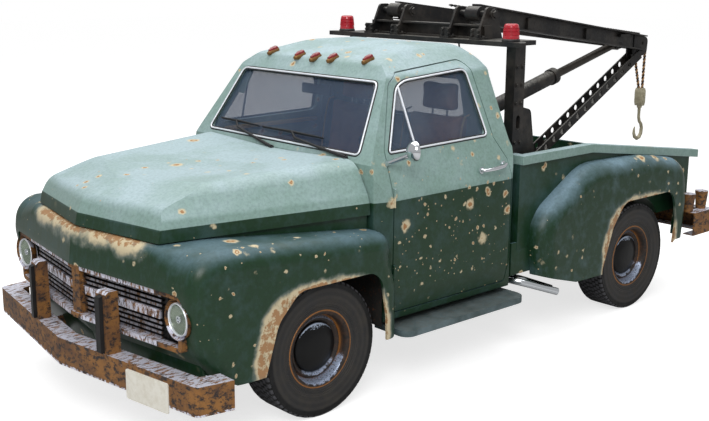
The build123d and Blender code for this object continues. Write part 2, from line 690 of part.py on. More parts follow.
def make_door_glass(side):
    slab = front_prism(cab_section(GLASS_DEPTH), 300,
                       1700) - front_prism(cab_section(GLASS_DEPTH + GLASS_T), 300, 1700)
    pane = slab & side_prism(inset(WINDOW, SEAT_GAP), 300, 1000)
    return pane if side > 0 else mirror(pane, about=Plane.YZ)


def make_cab_glass():
    plane, outline = windshield_outline(SEAT_GAP)
    face = face_on(plane.offset(-GLASS_DEPTH - GLASS_T), outline)
    front = extrude(face, amount=GLASS_T, dir=plane.z_dir)
    back = mirrored([(a, b, 50) for a, b in BACK_WINDOW])
    pane = front_prism(inset(back, SEAT_GAP), 1400, 1600)
    pane &= side_prism(inset(CAB_SIDE, GLASS_DEPTH), -900,
                       900) - side_prism(inset(CAB_SIDE, GLASS_DEPTH + GLASS_T), -900, 900)
    pane &= block((-900, 900), (1400, 1600), (1300, 1700))
    return Compound(children=[*front.solids(), *pane.solids()])


def column_axis():
    return (0.0, math.cos(math.radians(COLUMN_TILT)), math.sin(math.radians(COLUMN_TILT)))


def make_dashboard():
    outline = [(CAB_FRONT + WALL, 960, 0), (660, 985, 20), (700, 1040, 40), (690, 1200, 40), (560, 1245, 60),
               (CAB_FRONT + WALL, 1225, 0)]
    dash = side_prism(outline, -745, 745)
    axis = Vector(*column_axis())
    top = Vector(*WHEEL_CENTRE) - axis * 45
    foot = Vector(*WHEEL_CENTRE) - axis * 330
    return dash + rod(tuple(foot), tuple(top), 26)


def make_steering_wheel():
    axis = Vector(*column_axis())
    centre = Vector(*WHEEL_CENTRE)
    plane = Plane(origin=centre, x_dir=(1, 0, 0), z_dir=axis)
    ring = plane.location * Torus(STEER_WHEEL_R, 13)
    hub = rod(tuple(centre - axis * 44), tuple(centre + axis * 18), 34)
    spokes = plane.location * Box(2 * STEER_WHEEL_R, 26, 12)
    spokes += plane.location * Pos(0, STEER_WHEEL_R / 2, 0) * Box(26, STEER_WHEEL_R, 12)
    return ring + hub + spokes


def make_seats():
    floor = RAIL_Z + RAIL_H + FLOOR_T
    base = block((SEAT_X - SEAT_W / 2 + 40, SEAT_X + SEAT_W / 2 - 40), (960, 1330), (floor, floor + 170))
    cushion = block((SEAT_X - SEAT_W / 2, SEAT_X + SEAT_W / 2), (880, 1350), (floor + 170, floor + 310))
    cushion = fillet(cushion.edges().filter_by(Axis.Z), 60)
    outline = [(1250, floor + 305, 20), (1385, floor + 290, 30), (1436, floor + 800, 40),
               (1340, floor + 815, 40)]
    back = side_prism(outline, SEAT_X - SEAT_W / 2 + 15, SEAT_X + SEAT_W / 2 - 15)
    head = block((SEAT_X - 140, SEAT_X + 140), (1345, 1428), (floor + 800, floor + 985))
    head = fillet(head.edges(), 30)
    return both_sides(base + cushion + back + head)


# ---------------------------------------------------------------- running boards and bed


def make_running_boards():
    outline = [(715, BOARD_Y[0], 0), (968, BOARD_Y[0], 60), (968, BOARD_Y[1], 90), (715, BOARD_Y[1], 0)]
    board = plan_prism(outline, *BOARD_Z)
    for station in (700, 1380):
        board += block((RAIL_X + RAIL_W, 720), (station, station + 50), BOARD_Z)
        board += block((RAIL_X + RAIL_W, RAIL_X + RAIL_W + 12), (station, station + 50), (BOARD_Z[0], 590))
    return both_sides(board)


def rail_outline(drop):
    return [(BED_FRONT, RAIL_TOP - drop), (RAIL_KNEE, RAIL_TOP - drop), (RAIL_END, RAIL_END_Z - drop)]


def make_bed():
    floor_z = RAIL_Z + RAIL_H
    floor = block((-BED_HALF, BED_HALF), (BED_FRONT, BED_REAR), (floor_z, floor_z + BED_FLOOR_T))
    top = rail_outline(RAIL_CAP_H)
    slope = (top[2][1] - top[1][1]) / (top[2][0] - top[1][0])
    end_z = top[1][1] + slope * (BED_REAR - top[1][0])
    outline = [(BED_FRONT, floor_z, 0), (BED_REAR, floor_z, 0), (BED_REAR, end_z, 0),
               (top[1][0], top[1][1], 300),
               (BED_FRONT, top[0][1], 0)]
    side = side_prism(outline, BED_HALF - BED_WALL, BED_HALF)
    front = block((-BED_HALF, BED_HALF), (BED_FRONT, BED_FRONT + BED_WALL), (floor_z, RAIL_TOP - RAIL_CAP_H))
    well = rod((WELL_X, WHEELBASE, AXLE_Z), (BED_HALF + 1, WHEELBASE, AXLE_Z), WELL_R)
    house = rod((WELL_X - WELL_T, WHEELBASE, AXLE_Z), (BED_HALF, WHEELBASE, AXLE_Z), WELL_R + WELL_T)
    house &= block((0, BED_HALF), (BED_FRONT, BED_REAR), (floor_z, RAIL_TOP))
    deck = block(DECK_X, DECK_Y, (floor_z + BED_FLOOR_T, floor_z + BED_FLOOR_T + DECK_T))
    return floor + front + whole(side) + both_sides(house + deck) - both_sides(well)


def make_bed_rails():
    up = rail_outline(0)
    down = rail_outline(RAIL_CAP_H)
    outline = [(*up[0], 0), (*up[1], 300), (*up[2], 0), (*down[2], 0), (*down[1], 300), (*down[0], 0)]
    side = side_prism(outline, RAIL_CAP_HALF - RAIL_CAP_W, RAIL_CAP_HALF)
    front = block((0, RAIL_CAP_HALF), (BED_FRONT, BED_FRONT + RAIL_CAP_W), (RAIL_TOP - RAIL_CAP_H, RAIL_TOP))
    front -= block((POST_X - POST_W / 2 - 3, POST_X + POST_W / 2 + 3), (POST_Y - 3, POST_Y + POST_D),
                   (0, RAIL_TOP + 1))
    return whole(side + front)


def rear_fender_outline(depth=0.0):
    corners = [
        (1775, 200, 0), (1735, 470, 180), (1690, 790, 260), (2190, 1078, 420), (2860, 1066, 900), (3318,
                                                                                                   985, 190),
        (3374, 700, 230), (3330, 200, 0),
    ]
    return inset(corners, depth) if depth else corners


def rear_fender_form(depth):
    form = side_prism(rear_fender_outline(depth), BED_HALF - 60, REAR_FENDER_X - depth)
    rim = [e for e in form.faces().sort_by(Axis.X)[-1].edges() if e.center().Z > 230]
    return fillet(rim, REAR_FENDER_ROUND - depth)


def make_rear_fenders():
    fender = rear_fender_form(0.0) - rear_fender_form(SKIN)
    fender &= block((BED_HALF, 1100), (1600, 3450), (0, 1200))
    below = [(1600, 0, 0), (1600, 430, 0), (1745, 430, 0), (2060, 342, 60), (2400, 335, 0), (3100, 365, 0),
             (3200, 430, 0), (3500, 430, 0), (3500, 0, 0)]
    fender = fender - side_prism(below, 700, 1100) - side_prism(REAR_ARCH, 700, 1100)
    low = rail_outline(RAIL_CAP_H + SEAT_GAP)
    above = [(*low[0], 0), (*low[1], 300), (*low[2], 0), (low[2][0], 1400, 0), (low[0][0], 1400, 0)]
    return both_sides(fender - side_prism(above, 0, 1100))


def make_tailgate():
    inner = BED_HALF - BED_WALL - SWING_GAP
    gate = block((-inner, inner), (BED_REAR - TAILGATE_T, BED_REAR), (TAILGATE_LOW, TAILGATE_TOP))
    reach = BED_HALF - BED_WALL - SEAT_GAP
    return gate + rod((-reach, *TAILGATE_AXIS), (reach, *TAILGATE_AXIS), TAILGATE_PIN_R)


def make_rear_bumper():
    y0, y1 = TAIL_BUMPER_Y
    half = TAIL_BUMPER_HALF
    outer = [(0, y1, 0), (half, y1, 45), (half, 3405, 0), (half - BUMPER_DEPTH * 0.8, 3405, 0),
             (half - BUMPER_DEPTH * 0.8, y0, 10), (0, y0, 0)]
    bar = plan_prism(outer, *TAIL_BUMPER_Z)
    t = BUMPER_PLATE
    hollow = [(-10, y1 - t, 0), (half - t, y1 - t, 37), (half - t, 3395, 0), (500, 3395, 0),
              (500, y0 - 20, 0),
              (-10, y0 - 20, 0)]
    bar -= plan_prism(hollow, TAIL_BUMPER_Z[0] + t, TAIL_BUMPER_Z[1] - t)
    bar += block((RAIL_X + RAIL_W, RAIL_X + RAIL_W + 12), (3300, y1 - t / 2), (480, 560))
    for x, y in ((905, 3430), (905, 3600)):
        bar += Pos(x, y, TAIL_BUMPER_Z[1] + 65) * Cone(34, 46, 130)
    bar = whole(bar)
    bar += block((-90, 90), (y1 - t, y1 + 70), (TAIL_BUMPER_Z[0] + 60, TAIL_BUMPER_Z[0] + 60 + HITCH_T))
    return bar - Pos(0, y1 + 35, TAIL_BUMPER_Z[0] + 70) * Cylinder(HITCH_R, 60)


# ---------------------------------------------------------------- front bumper and fittings
def bumper_plan(depth, end=BUMPER_END_Y):
    """Half of the ground the bumper encloses, its front and side faces moved in by depth."""
    stretch = math.hypot(1.0, BUMPER_V)
    side_run = (1062.0 - BUMPER_HALF) / 188.0
    y_mid = BUMPER_Y + depth * stretch
    x_corner = BUMPER_HALF - depth
    y_corner = y_mid + BUMPER_V * x_corner
    return [(0, y_mid, 0), (x_corner, y_corner, 30), (x_corner + side_run * (end - y_corner), end, 0),
            (0, end, 0)]


def make_front_bumper():
    top = BUMPER_Z + BUMPER_H
    bar = plan_prism(bumper_plan(0), BUMPER_Z, top)
    bar -= plan_prism(bumper_plan(BUMPER_DEPTH, BUMPER_END_Y + 20), BUMPER_Z - 1, top + 1)
    bar -= plan_prism(bumper_plan(BUMPER_PLATE, BUMPER_END_Y + 20), BUMPER_Z + BUMPER_PLATE,
                      top - BUMPER_PLATE)
    x = (RAIL_X + RAIL_W, RAIL_X + RAIL_W + 12)
    back = BUMPER_Y + BUMPER_V * x[1] + BUMPER_PLATE
    arm = side_prism([(back - 6, BUMPER_Z + BUMPER_PLATE, 0), (back - 6, 388, 0), (-738, 388, 0),
                      (-726, 430, 0),
                      (-726, 596, 0), (-650, 596, 0), (-650, 470, 0), (-700, BUMPER_Z + BUMPER_PLATE, 0)], *x)
    return whole(bar + arm)


def guard_front(x):
    return BUMPER_Y + BUMPER_V * x


def make_bumper_guards():
    low, high = GUARD_Z
    x = (GUARD_X - GUARD_W / 2, GUARD_X + GUARD_W / 2)
    face = guard_front(GUARD_X)
    outline = [(face - 4, BUMPER_Z + BUMPER_H, 0), (face - 4, high - 14, 12), (face + 12, high, 10),
               (face + 64, high, 10),
               (face + 70, BUMPER_Z + BUMPER_H, 0)]
    guard = side_prism(outline, *x, BUMPER_V)
    return both_sides(guard)


def make_guard_strips():
    low, high = GUARD_Z
    x = (GUARD_X - 17, GUARD_X + 17)
    face = guard_front(GUARD_X) + BUMPER_V * (x[0] - (GUARD_X - GUARD_W / 2)) - 4
    strip = side_prism([(face - 22, low + 22, 8), (face, low + 22, 0), (face, high - 20, 0),
                        (face - 22, high - 26, 10)],
                       *x, BUMPER_V)
    return both_sides(strip)


def make_number_plate():
    plate_x = BUMPER_HALF - 338
    plane = Plane(origin=(plate_x, BUMPER_Y + BUMPER_V * plate_x - 0.5, 332), x_dir=(1, BUMPER_V, 0),
                  z_dir=(BUMPER_V, -1, 0))
    sheet = plane * RectangleRounded(*PLATE_SIZE, 12)
    return extrude(sheet, amount=6)


def v_bar(x_to, y_mid, depth, z, x_from=0.0):
    """A bar of the V-shaped grille, on the left half."""
    y = y_mid + V_SLOPE * x_from
    return side_prism([(y, z[0], 0), (y + depth, z[0], 0), (y + depth, z[1], 0), (y, z[1], 0)], x_from,
                      x_to, V_SLOPE)


def grille_half_width(z):
    share = (z - OPEN_BOTTOM[1]) / (OPEN_TOP[1] - OPEN_BOTTOM[1])
    return OPEN_BOTTOM[0] + share * (OPEN_TOP[0] - OPEN_BOTTOM[0])


def lamp_opening():
    """The round hole a headlamp stands in."""
    return Pos(LAMP[0], LAMP_FRONT, LAMP[1]) * Rot(90, 0, 0) * Cylinder(LAMP_R + LAMP_BEAD - 6 + SEAT_GAP,
                                                                        300)


def make_grille():
    outer = whole_outline([(0, OPEN_BOTTOM[1], 0), (*OPEN_BOTTOM, 30), (*OPEN_TOP, 45), (0, OPEN_TOP[1], 0)])
    ring = side_prism([(NOSE_Y + 16, 500, 0), (NOSE_Y + 70, 500, 0), (NOSE_Y + 70, 830, 0),
                       (NOSE_Y + 16, 830, 0)], 0, 900, V_SLOPE)
    ring = whole(ring)
    ring &= front_prism(inset(outer, SEAT_GAP), -1100, -700) - front_prism(inset(outer, 26), -1100, -700)
    bars = v_bar(40, GRILLE_Y - 18, 60, (OPEN_BOTTOM[1] + 4, OPEN_TOP[1] - 4))
    end = v_bar(668, GRILLE_Y + 30, 12, (OPEN_BOTTOM[1] + 4, OPEN_TOP[1] - 4), 600)
    for low, high in GRILLE_BARS:
        bars += v_bar(640, GRILLE_Y + (0 if high - low > 30 else 12), 34, (low, high))
    panel = v_bar(900, GRILLE_Y + 34, 10, (480, 830), 645)
    panel &= front_prism(inset(outer, 20), -1100, -700)
    half = bars + end + panel
    grille = whole(half & front_prism(inset(outer, 3), -1100, -700)) + ring
    return grille - both_sides(lamp_opening())


def make_headlamps():
    bowl = Pos(LAMP[0], LAMP_FRONT + 50, LAMP[1]) * Rot(90, 0, 0) * Cylinder(LAMP_R, 100)
    ring = Pos(LAMP[0], LAMP_FRONT + 5, LAMP[1]) * Rot(90, 0, 0) * Torus(LAMP_R - 6, LAMP_BEAD)
    ball_r = 190.0
    rise = 22.0
    ball = Pos(LAMP[0], LAMP_FRONT - rise + ball_r, LAMP[1]) * Sphere(ball_r)
    ball &= Pos(LAMP[0], LAMP_FRONT - 30, LAMP[1]) * Rot(90, 0, 0) * Cylinder(LAMP_R - 8, 60)
    return both_sides(bowl + ring + ball)


def roof_height(y):
    """Height of the roof's crown in front of its highest point."""
    return 1774 + (y - 706) * (ROOF_Z - 1774) / (1080 - 706)


def make_roof_lamps():
    lamps = []
    for x, y in ROOF_LAMPS:
        foot = Pos(x, y, roof_height(y) + 4) * Box(44, 62, 22)
        lens = Pos(x, y, roof_height(y) + 14) * Sphere(19)
        lens &= block((x - 30, x + 30), (y - 40, y + 40), (roof_height(y) + 15, roof_height(y) + 60))
        lamp = foot - cab_form(0.0) + lens
        lamps += lamp.solids() if x == 0 else both_sides(lamp).solids()
    return Compound(children=lamps)


def make_mirror():
    foot = Vector(785, 566, 1286)
    head = Vector(966, 545, 1352)
    arm = rod(tuple(foot), tuple(head), 7)
    disc = Pos(*head) * Rot(90, 0, 0) * Cylinder(56, 22)
    return (arm + fillet(disc.edges(), 8)) - cab_form(-SEAT_GAP)


# ---------------------------------------------------------------- wrecker gear
def make_mast():
    floor = RAIL_Z + RAIL_H + BED_FLOOR_T
    x = (POST_X - POST_W / 2, POST_X + POST_W / 2)
    y = (POST_Y, POST_Y + POST_D)
    post = block(x, y, (floor, HEAD_Z - HEAD_T))
    slot = Pos(POST_X, POST_Y + POST_D / 2, 1372) * Rot(0, 90, 0) * extrude(SlotOverall(90, 34), amount=60,
                                                                            both=True)
    post -= slot
    foot = block((POST_X - 75, POST_X + 75), (POST_Y - 4, POST_Y + 210), (floor, floor + 14))
    brace = side_prism([(y[1], floor + 14, 0), (y[1] + 250, floor + 14, 0), (y[1] + 105, 1438, 40),
                        (y[1], 1465, 0)],
                       POST_X - 10, POST_X + 10)
    head = plan_prism([(0, HEAD_FRONT, 0), (HEAD_HALF, HEAD_FRONT, 0), (HEAD_HALF, HEAD_FRONT + 40, 0),
                       (HEAD_HALF - 60, HEAD_END_REAR, 0), (0, HEAD_END_REAR, 0)], HEAD_Z - HEAD_T, HEAD_Z)
    head += block((0, HEAD_MIDDLE_HALF), (HEAD_FRONT, HEAD_REAR), (HEAD_Z - HEAD_T, HEAD_Z))
    ears = None
    for ear_x in EAR_X:
        outline = [(PIVOT_Y - 130, HEAD_Z, 0), (PIVOT_Y + 110, HEAD_Z, 0), (PIVOT_Y + 42, PIVOT_Z + 42, 30),
                   (PIVOT_Y - 42, PIVOT_Z + 42, 30)]
        ear = side_prism(outline, ear_x - EAR_T / 2, ear_x + EAR_T / 2)
        ear += block((ear_x - 36, ear_x + 36), (PIVOT_Y - 150, PIVOT_Y - 60), (HEAD_Z, HEAD_Z + 12))
        ear += block((ear_x - 36, ear_x + 36), (PIVOT_Y - 138, PIVOT_Y - 126), (HEAD_Z, HEAD_Z + 66))
        ears = ear if ears is None else ears + ear
    pin = rod((EAR_X[0] - 30, PIVOT_Y, PIVOT_Z), (EAR_X[1] + 30, PIVOT_Y, PIVOT_Z), PIN_R)
    beam = block((0, 500), (PIVOT_Y - 82, PIVOT_Y - 12), (HEAD_Z, HEAD_Z + 86)) - block(
        (0, 492), (PIVOT_Y - 92, PIVOT_Y - 24), (HEAD_Z + 10, HEAD_Z + 76))
    half = post + foot + brace + head + ears + pin + beam
    tie = block((0, POST_X), (POST_Y + RAIL_CAP_W - 32, POST_Y + POST_D - 10),
                (RAM_FOOT[1] - 55, RAM_FOOT[1] + 55))
    half += tie
    half += side_prism([(POST_Y + POST_D - 10, RAM_FOOT[1] - 55, 0), (RAM_FOOT[0] + 30, RAM_FOOT[1] - 30, 25),
                        (RAM_FOOT[0] + 30, RAM_FOOT[1] + 30, 25), (POST_Y + POST_D - 10, RAM_FOOT[1] + 55,
                                                                   0)], 40, 54)
    half += rod((0, *RAM_FOOT), (60, *RAM_FOOT), PIN_R)
    return whole(half)


def make_beacons():
    base = Pos(BEACON_X, BEACON_Y, HEAD_Z + 9) * Cylinder(54, 18)
    dome = Pos(BEACON_X, BEACON_Y, HEAD_Z + 18 + 44) * Cone(50, 43, 88)
    dome = fillet(dome.edges().sort_by(Axis.Z)[-1], 18)
    return both_sides(base + dome)


def boom_axis(share):
    """A point on the left leg's middle line, from the pivot (0) to the tip (1)."""
    return Vector(
        LEG_X + share * (34 - LEG_X),
        PIVOT_Y + share * (BOOM_TIP_Y - PIVOT_Y),
        PIVOT_Z + share * (BOOM_TIP_Z - PIVOT_Z),
    )


def make_boom():
    start, end = boom_axis(0.0), boom_axis(1.0)
    run = end - start
    across = Vector(0, 0, 1).cross(run).normalized()
    plane = Plane(origin=start, x_dir=across, z_dir=run)
    channel = Rectangle(LEG_W, LEG_DEPTH) - Pos(-LEG_PLATE, 0) * Rectangle(LEG_W, LEG_DEPTH - 2 * LEG_PLATE)
    leg = extrude(plane * channel, amount=run.length)
    eye = rod((LEG_X - 52, PIVOT_Y, PIVOT_Z), (LEG_X + 52, PIVOT_Y, PIVOT_Z), 46)
    half = leg + eye
    half -= rod((0, PIVOT_Y, PIVOT_Z), (600, PIVOT_Y, PIVOT_Z), PIN_R + RUNNING_FIT)
    for share in (0.28, 0.62):
        point = boom_axis(share)
        half += block((0, point.X), (point.Y - 30, point.Y + 30), (point.Z - 40, point.Z + 34))
    nose = side_prism([(BOOM_TIP_Y - 130, BOOM_TIP_Z - 118, 0), (BOOM_TIP_Y + 50, BOOM_TIP_Z - 90, 40),
                       (BOOM_TIP_Y + 62, BOOM_TIP_Z + 40, 40), (BOOM_TIP_Y - 130, BOOM_TIP_Z + 74,
                                                                0)], 22, 36)
    half += nose
    eye_block = side_prism([(RAM_EYE[0] - 34, RAM_EYE[1] - 34, 30), (RAM_EYE[0] + 34, RAM_EYE[1] - 34, 30),
                            (RAM_EYE[0] + 60, RAM_EYE[1] + 90, 0), (RAM_EYE[0] - 60, RAM_EYE[1] + 100,
                                                                    0)], 34, 46)
    half += eye_block
    boom = whole(half)
    boom += rod((-60, *RAM_EYE), (60, *RAM_EYE), RAM_PIN_R)
    boom += rod((-44, BOOM_TIP_Y, BOOM_TIP_Z), (44, BOOM_TIP_Y, BOOM_TIP_Z), 14)
    boom += rod((-20, BOOM_TIP_Y, BOOM_TIP_Z), (20, BOOM_TIP_Y, BOOM_TIP_Z), SHEAVE_R)
    boom += block((-95, 95), (RAM_EYE[0] - 60, RAM_EYE[0] + 60), (RAM_EYE[1] + 60, RAM_EYE[1] + 80))
    return boom + make_rest_leg()


def make_rest_leg():
    """The perforated channel under the boom that carries its weight on the bed at rest."""
    start = Vector(0, *REST_TOP)
    end = Vector(0, *REST_FOOT)
    run = end - start
    plane = Plane(origin=start, x_dir=(1, 0, 0), z_dir=run)
    channel = Rectangle(REST_W, REST_D) - Pos(0, LEG_PLATE) * Rectangle(REST_W - 2 * LEG_PLATE, REST_D)
    leg = extrude(plane * channel, amount=run.length)
    count = int((run.length - 300) // REST_PITCH)
    for i in range(count):
        point = start + run.normalized() * (170 + REST_PITCH * i)
        leg -= rod((-100, point.Y, point.Z), (100, point.Y, point.Z), REST_HOLE_R)
    floor = RAIL_Z + RAIL_H + BED_FLOOR_T
    pad = block((-80, 80), (REST_FOOT[0] - 70, REST_FOOT[0] + 60), (floor + SEAT_GAP, floor + 40))
    pin = start + run.normalized() * 36
    half = REST_W / 2
    return leg + pad + rod((-half, pin.Y, pin.Z), (half, pin.Y, pin.Z), REST_PIN_R)


def ram_direction():
    run = Vector(0, RAM_EYE[0] - RAM_FOOT[0], RAM_EYE[1] - RAM_FOOT[1])
    return run.normalized(), run.length


def make_ram_barrel():
    way, length = ram_direction()
    foot = Vector(0, *RAM_FOOT)
    tube = rod(tuple(foot + way * 62), tuple(foot + way * RAM_BARREL_L), RAM_R)
    tube += rod(tuple(foot), tuple(foot + way * 70), 30)
    collar = rod(tuple(foot + way * (RAM_BARREL_L - 50)), tuple(foot + way * RAM_BARREL_L), RAM_R + 8)
    eye = rod((-34, *RAM_FOOT), (34, *RAM_FOOT), 36)
    barrel = tube + collar + eye
    barrel -= rod((-60, *RAM_FOOT), (60, *RAM_FOOT), PIN_R + RUNNING_FIT)
    return barrel - rod(tuple(foot + way * 80), tuple(foot + way * (RAM_BARREL_L + 10)),
                        RAM_ROD_R + RUNNING_FIT)


def make_ram_rod():
    way, length = ram_direction()
    foot = Vector(0, *RAM_FOOT)
    shaft = rod(tuple(foot + way * 620), tuple(foot + way * (length - 40)), RAM_ROD_R)
    eye = rod((-30, *RAM_EYE), (30, *RAM_EYE), 44)
    return (shaft + eye) - rod((-60, *RAM_EYE), (60, *RAM_EYE), RAM_PIN_R + EYE_PLAY)


def make_winch():
    floor = RAIL_Z + RAIL_H + BED_FLOOR_T
    y, z = 1990.0, floor + 150
    drum = rod((-170, y, z), (170, y, z), 62)
    cheeks = block((-190, -172), (y - 110, y + 110), (floor, z + 110)) + block((172, 190),
                                                                               (y - 110, y + 110), (floor,
                                                                                                    z + 110))
    motor = rod((190, y, z), (330, y, z), 90) + block((-190, 190), (y - 110, y + 110), (floor, floor + 12))
    ends = rod((-172, y, z), (-158, y, z), 104) + rod((158, y, z), (172, y, z), 104)
    return drum + cheeks + motor + ends


def make_hook():
    """The hoist rope's falls, the hook block and its hook, hanging from the boom's tip."""
    z_top = BOOM_TIP_Z - SHEAVE_R + 40
    falls = None
    for x in (-14, 14):
        fall = rod((x * 0.7, BOOM_TIP_Y + SHEAVE_R + ROPE_R + SEAT_GAP, z_top),
                   (x, BOOM_TIP_Y + SHEAVE_R - 6, 1330), ROPE_R)
        falls = fall if falls is None else falls + fall
    y = BOOM_TIP_Y + SHEAVE_R - 6
    block_body = block((-36, 36), (y - 26, y + 26), (1215, 1345))
    block_body = fillet(block_body.edges().filter_by(Axis.X), 18)
    shank = rod((0, y, 1225), (0, y, 1140), 14)
    bowl = tube_path([(0, y, 1150), (0, y, 1085), (0, y + 52, 1050), (0, y + 52, 985), (0, y - 10, 935),
                      (0, y - 58, 985), (0, y - 50, 1040)], [30, 30, 30, 45, 30], 13)
    return falls + block_body + shank + bowl


# ---------------------------------------------------------------- everything, by node
def build():
    nose, fenders = make_front_clip()
    cab_body, cab_roof = make_cab()
    tyre, wheel = make_tyre(), make_wheel()
    parts = {
        "frame": make_frame(),
        "front_axle": make_front_axle(),
        "rear_axle": make_rear_axle(),
        "leaf_springs": make_leaf_springs(),
        "engine_block": make_engine_block(),
        "propshaft": make_propshaft(),
        "exhaust": make_exhaust(),
        "fuel_tank": make_fuel_tank(),
        "radiator": make_radiator(),
        "front_bumper": make_front_bumper(),
        "bumper_guards": make_bumper_guards(),
        "guard_strips": make_guard_strips(),
        "number_plate": make_number_plate(),
        "grille": make_grille(),
        "headlamps": make_headlamps(),
        "nose_panel": nose,
        "front_fenders": fenders,
        "cab_body": cab_body,
        "cab_roof": cab_roof,
        "cab_glass": make_cab_glass(),
        "dashboard": make_dashboard(),
        "seats": make_seats(),
        "running_boards": make_running_boards(),
        "bed": make_bed(),
        "bed_rails": make_bed_rails(),
        "rear_fenders": make_rear_fenders(),
        "rear_bumper": make_rear_bumper(),
        "roof_lamps": make_roof_lamps(),
        "mast": make_mast(),
        "beacons": make_beacons(),
        "winch": make_winch(),
        "hood": make_hood(),
        "mirror": make_mirror(),
        "steering_wheel": make_steering_wheel(),
        "tie_rod": make_tie_rod(),
        "tailgate": make_tailgate(),
        "boom": make_boom(),
        "ram_barrel": make_ram_barrel(),
        "ram_rod": make_ram_rod(),
        "hook": make_hook(),
    }
    for name, side in (("left", 1), ("right", -1)):
        parts[f"door_{name}"] = make_door(side)
        parts[f"door_glass_{name}"] = make_door_glass(side)
        parts[f"knuckle_{name}"] = make_knuckle(side)
        for end, station in (("front", 0.0), ("rear", WHEELBASE)):
            parts[f"tyre_{end}_{name}"] = placed_wheel(tyre, side, station)
            parts[f"wheel_{end}_{name}"] = placed_wheel(wheel, side, station)
    return parts


def main():
    parts = build()
    boxes = [part.bounding_box() for part in parts.values()]
    front = min(box.min.Y for box in boxes)
    rear = max(box.max.Y for box in boxes)
    origin_station = (front + rear) / 2
    os.makedirs("parts", exist_ok=True)
    for name, part in parts.items():
        moved = Pos(0, -origin_station, 0) * Compound(children=part.solids())
        export_step(moved, f"parts/{name}.step")
        print(f"{name:20s} solids {len(moved.solids())}")
    print("origin station", round(origin_station, 3), "front", front, "rear", rear)


if __name__ == "__main__":
    main()
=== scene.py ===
import json
import math

import bmesh
import bpy
from mathutils import Matrix, Vector
from mathutils.bvhtree import BVHTree

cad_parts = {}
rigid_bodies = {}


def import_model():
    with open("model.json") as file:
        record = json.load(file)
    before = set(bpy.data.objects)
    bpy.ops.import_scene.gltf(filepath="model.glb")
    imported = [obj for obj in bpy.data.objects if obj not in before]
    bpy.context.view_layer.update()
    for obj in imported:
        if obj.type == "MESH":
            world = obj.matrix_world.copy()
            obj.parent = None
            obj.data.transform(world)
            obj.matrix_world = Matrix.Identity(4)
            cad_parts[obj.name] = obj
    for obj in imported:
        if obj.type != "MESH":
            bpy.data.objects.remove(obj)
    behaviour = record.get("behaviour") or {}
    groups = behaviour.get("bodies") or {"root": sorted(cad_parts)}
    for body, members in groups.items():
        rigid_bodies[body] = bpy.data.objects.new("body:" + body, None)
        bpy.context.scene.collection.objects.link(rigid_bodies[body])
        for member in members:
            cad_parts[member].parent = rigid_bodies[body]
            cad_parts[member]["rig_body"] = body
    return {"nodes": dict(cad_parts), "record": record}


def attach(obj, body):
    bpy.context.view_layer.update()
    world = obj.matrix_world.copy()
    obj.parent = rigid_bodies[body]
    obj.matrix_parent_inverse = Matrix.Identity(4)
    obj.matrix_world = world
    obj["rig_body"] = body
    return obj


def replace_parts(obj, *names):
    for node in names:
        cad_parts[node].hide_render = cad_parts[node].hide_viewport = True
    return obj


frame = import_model()
scene = bpy.context.scene
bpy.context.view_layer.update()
body_of_node = {name: node["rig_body"] for name, node in frame["nodes"].items()}

# Stations are metres behind the front axle; the row frame's origin is at this station.
ORIGIN = 1.587
WHEEL_X, AXLE_Z, WHEELBASE = 0.775, 0.365, 2.794
SIDES = (("left", 1), ("right", -1))


def station(x, y, z):
    """A point given by its station, in the row frame."""
    return Vector((x, y - ORIGIN, z))


def stations(rows, side=1):
    """The points of rows of x, y and z, mirrored to the right with side -1."""
    return [station(side * x, y, z) for x, y, z in rows]


# ---------------------------------------------------------------- materials
def linear(code):
    """An sRGB hex colour as linear red, green, blue and alpha."""
    channels = [int(code[i:i + 2], 16) / 255 for i in (1, 3, 5)]
    return [c / 12.92 if c <= 0.04045 else ((c + 0.055) / 1.055) ** 2.4 for c in channels] + [1.0]


class Shading:
    """The node tree that put adds to."""
    tree = None


def start_nodes(owner):
    """The material or world, its empty node tree now the one that put adds to."""
    owner.use_nodes = True
    Shading.tree = owner.node_tree
    Shading.tree.nodes.clear()
    return owner


def put(kind, links=None, **settings):
    """A node with its settings, each input linked to a socket or set to a value."""
    node = Shading.tree.nodes.new("ShaderNode" + kind)
    for key, value in settings.items():
        setattr(node, key, value)
    for socket, source in (links or {}).items():
        if isinstance(source, bpy.types.NodeSocket):
            Shading.tree.links.new(source, node.inputs[socket])
        else:
            node.inputs[socket].default_value = source
    return node


def start_material(name):
    return start_nodes(bpy.data.materials.new(name))


def finish(made, **inputs):
    """The material, its shader's inputs given by name."""
    shader = put("BsdfPrincipled", {socket.replace("_", " "): source for socket, source in inputs.items()})
    put("OutputMaterial", {"Surface": shader.outputs[0]})
    return made


def coord(kind):
    return put("TexCoord").outputs[kind]


def calc(operation, a, b=0.0):
    return put("Math", {0: a, 1: b}, operation=operation).outputs[0]


def times(*factors):
    product = factors[0]
    for factor in factors[1:]:
        product = calc("MULTIPLY", product, factor)
    return product


def plus(a, b):
    return calc("ADD", a, b)


def apart(a, b=0.0):
    """The distance between two values."""
    return calc("ABSOLUTE", calc("SUBTRACT", a, b))


def xyz(source):
    """The three parts of a vector."""
    return put("SeparateXYZ", {0: source}).outputs


def ramp(value, low, high, to_low=0.0, to_high=1.0):
    """value, eased from to_low at low to to_high at high."""
    span = {"Value": value, "From Min": low, "From Max": high, "To Min": to_low, "To Max": to_high}
    return put("MapRange", span, interpolation_type="SMOOTHSTEP").outputs["Result"]


def blend(share, a, b, mode="MIX"):
    """Colour a turned to colour b by share."""
    a, b = (linear(c) if isinstance(c, str) else c for c in (a, b))
    return put("Mix", {0: share, 6: a, 7: b}, data_type="RGBA", blend_type=mode).outputs[2]


